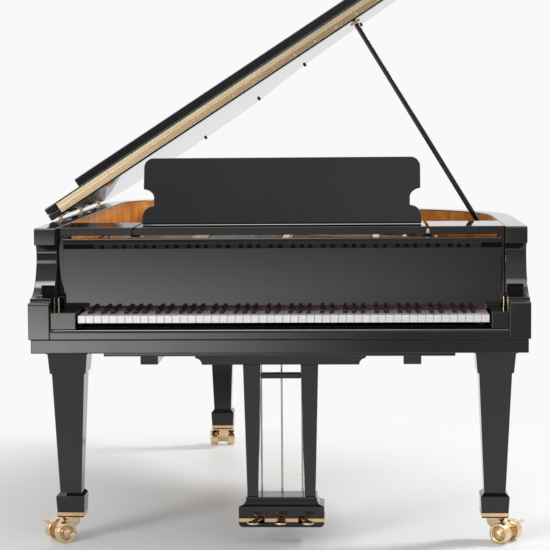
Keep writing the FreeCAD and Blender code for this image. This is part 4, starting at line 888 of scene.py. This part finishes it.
floor_mesh = bpy.data.meshes.new("studio_floor")
floor_mesh.from_pydata([(-FLOOR_X, FLOOR_FRONT, 0.0), (FLOOR_X, FLOOR_FRONT, 0.0),
                        (FLOOR_X, FLOOR_BACK, 0.0), (-FLOOR_X, FLOOR_BACK, 0.0)], [],
                       [(0, 1, 2, 3)])
floor = bpy.data.objects.new("studio_floor", floor_mesh)
bpy.context.scene.collection.objects.link(floor)
pale = finish("pale_floor", ((0.835, 0.85, 0.865), (0.855, 0.87, 0.885)), (0.45, 0.55), even(0.6),
              even(2.0))
floor_mesh.materials.append(pale)
tree = pale.node_tree
ray = plug(tree, "ShaderNodeLightPath")
clear = joined(tree, "MAXIMUM", ray["Is Camera Ray"], ray["Is Glossy Ray"])
spot = plug(tree, "ShaderNodeTexCoord")["Object"]
away = plug(tree, "ShaderNodeVectorMath", {0: spot, 1: FADE_CENTRE}, operation="DISTANCE")["Value"]
share = joined(tree, "MULTIPLY", fades(tree, away, FADE_SPAN, 0.0, 1.0, "SMOOTHSTEP"), clear)
glow = plug(tree, "ShaderNodeEmission", {"Color": PLAIN_WHITE, "Strength": WHITE})["Emission"]
paint = tree.nodes["Principled BSDF"].outputs["BSDF"]
blend = plug(tree, "ShaderNodeMixShader", {0: share, 1: paint, 2: glow})["Shader"]
tree.links.new(blend, tree.nodes["Material Output"].inputs["Surface"])
print("floor that fades out between", FADE_SPAN[0], "and", FADE_SPAN[1], "m")

# %% [markdown]
# Black lacquer only shows what it reflects, so the room's light is drawn in the world by direction.
# A camera ray sees plain white. A ray that bounced off something glossy sees a white room with a
# shaded wall behind the camera. Low on that wall, on the left, a bright panel fades to the right,
# which draws the grey gradient over the fallboard and, with a softer fade, over the keyslip. Higher
# up on the left is a window, and straight overhead a light that shows in what lies flat. Every
# other ray gets an even light.

# %% The room's light, by direction
AMBIENT, PANEL, WINDOW, CEILING = 0.64, 5.5, 4.0, 11.0
PANEL_SIDE, PANEL_SIDE_LOW, PANEL_SPLIT = (0.09, -0.19), (0.03, -0.19), (-0.095, -0.118)
PANEL_DOWN = (-0.052, -0.125)
WALL_UP, WALL_DIM, WALL_LIT = (-0.05, 0.5), 0.45, 0.80
WALL_SIDE, WALL_LEFT, WALL_RIGHT = (-0.12, 0.05), 0.7, 1.1
WINDOW_SIDE, WINDOW_FOOT, WINDOW_HEAD = (-0.13, -0.16), (0.28, 0.33), (0.40, 0.46)
WALL_EDGE = (-0.9, -0.5)
CEILING_UP, CEILING_SIDE, CEILING_RIGHT = (0.955, 0.985), (-0.08, 0.06), 0.25

world = bpy.data.worlds.new("studio")
bpy.context.scene.world = world
world.use_nodes = True
sky = world.node_tree
ray = plug(sky, "ShaderNodeLightPath")
way = plug(sky, "ShaderNodeSeparateXYZ",
           {"Vector": plug(sky, "ShaderNodeTexCoord")["Generated"]})
leftward = mixed(sky, fades(sky, way["Z"], PANEL_SPLIT, 0.0, 1.0),
                 fades(sky, way["X"], PANEL_SIDE, 0.0, 1.0),
                 fades(sky, way["X"], PANEL_SIDE_LOW, 0.0, 1.0, "SMOOTHSTEP"))
panel = joined(sky, "MULTIPLY", leftward, fades(sky, way["Z"], PANEL_DOWN, 0.0, PANEL))
window_high = joined(sky, "MULTIPLY", fades(sky, way["Z"], WINDOW_FOOT, 0.0, 1.0),
                     fades(sky, way["Z"], WINDOW_HEAD, 1.0, 0.0))
window = joined(sky, "MULTIPLY", fades(sky, way["X"], WINDOW_SIDE, 0.0, WINDOW), window_high)
shaded = joined(sky, "MULTIPLY", fades(sky, way["Z"], WALL_UP, WALL_DIM, WALL_LIT),
                fades(sky, way["X"], WALL_SIDE, WALL_LEFT, WALL_RIGHT))
wall = joined(sky, "ADD", joined(sky, "ADD", panel, window), shaded)
around = mixed(sky, fades(sky, way["Y"], WALL_EDGE, 1.0, 0.0, "SMOOTHSTEP"), WHITE, wall)
ceiling = joined(sky, "MULTIPLY", fades(sky, way["Z"], CEILING_UP, 0.0, CEILING),
                 fades(sky, way["X"], CEILING_SIDE, 1.0, CEILING_RIGHT))
room = mixed(sky, ray["Is Glossy Ray"], AMBIENT, joined(sky, "ADD", around, ceiling))
strength = mixed(sky, ray["Is Camera Ray"], room, WHITE)
background = sky.nodes["Background"]
sky.links.new(strength, background.inputs["Strength"])
background.inputs["Color"].default_value = PLAIN_WHITE
print("sky of", len(sky.nodes), "nodes")

# %% [markdown]
# Two soft lamps give the shadows. The strong one stands high up, far to the right and behind the
# piano, so the shadow falls to the left and forward. The weak one fills in from the front left.

# %% The lamps
MIDDLE = Vector((0.0, 0.6, 0.8))
LAMPS = (("right_softbox", (6.3, 2.9, 6.0), 2.0, 520.0),
         ("left_softbox", (-4.2, -4.6, 2.6), 1.8, 190.0))
for name, spot, side, power in LAMPS:
    light = bpy.data.lights.new(name, "AREA")
    light.shape = "RECTANGLE"
    light.size, light.size_y, light.energy = side, side, power
    lamp = bpy.data.objects.new(name, light)
    lamp.location = spot
    lamp.rotation_euler = (MIDDLE - Vector(spot)).to_track_quat("-Z", "Y").to_euler()
    bpy.context.scene.collection.objects.link(lamp)
print(len(LAMPS), "lamps")

# %% [markdown]
# The camera stands where the photo was taken from. Its place, its three angles and its focal length
# come from a fit to the photo, and the focal length is given in pixels of it.

# %% The camera
EYE = Vector((0.2308, -5.4946, 1.3207))
YAW, PITCH, ROLL = math.radians(2.499), math.radians(4.991), math.radians(-0.437)
FOCAL_PIXELS, PHOTO_SIDE, SENSOR = 1862.35, 550, 36.0
forward = Vector((-math.sin(YAW) * math.cos(PITCH), math.cos(YAW) * math.cos(PITCH),
                  -math.sin(PITCH)))
level = Vector((math.cos(YAW), math.sin(YAW), 0.0))
upright = level.cross(forward)
right = level * math.cos(ROLL) + upright * math.sin(ROLL)
top = upright * math.cos(ROLL) - level * math.sin(ROLL)
turned = Matrix((right, top, -forward)).transposed().to_4x4()
camera = bpy.data.objects.new("camera", bpy.data.cameras.new("camera"))
camera.data.sensor_width = SENSOR
camera.data.lens = SENSOR * FOCAL_PIXELS / PHOTO_SIDE
camera.matrix_world = Matrix.Translation(EYE) @ turned
bpy.context.scene.collection.objects.link(camera)
bpy.context.scene.camera = camera
bpy.context.scene.view_settings.view_transform = "Standard"
print("camera at", [round(number, 3) for number in EYE], "lens", round(camera.data.lens, 1), "mm")
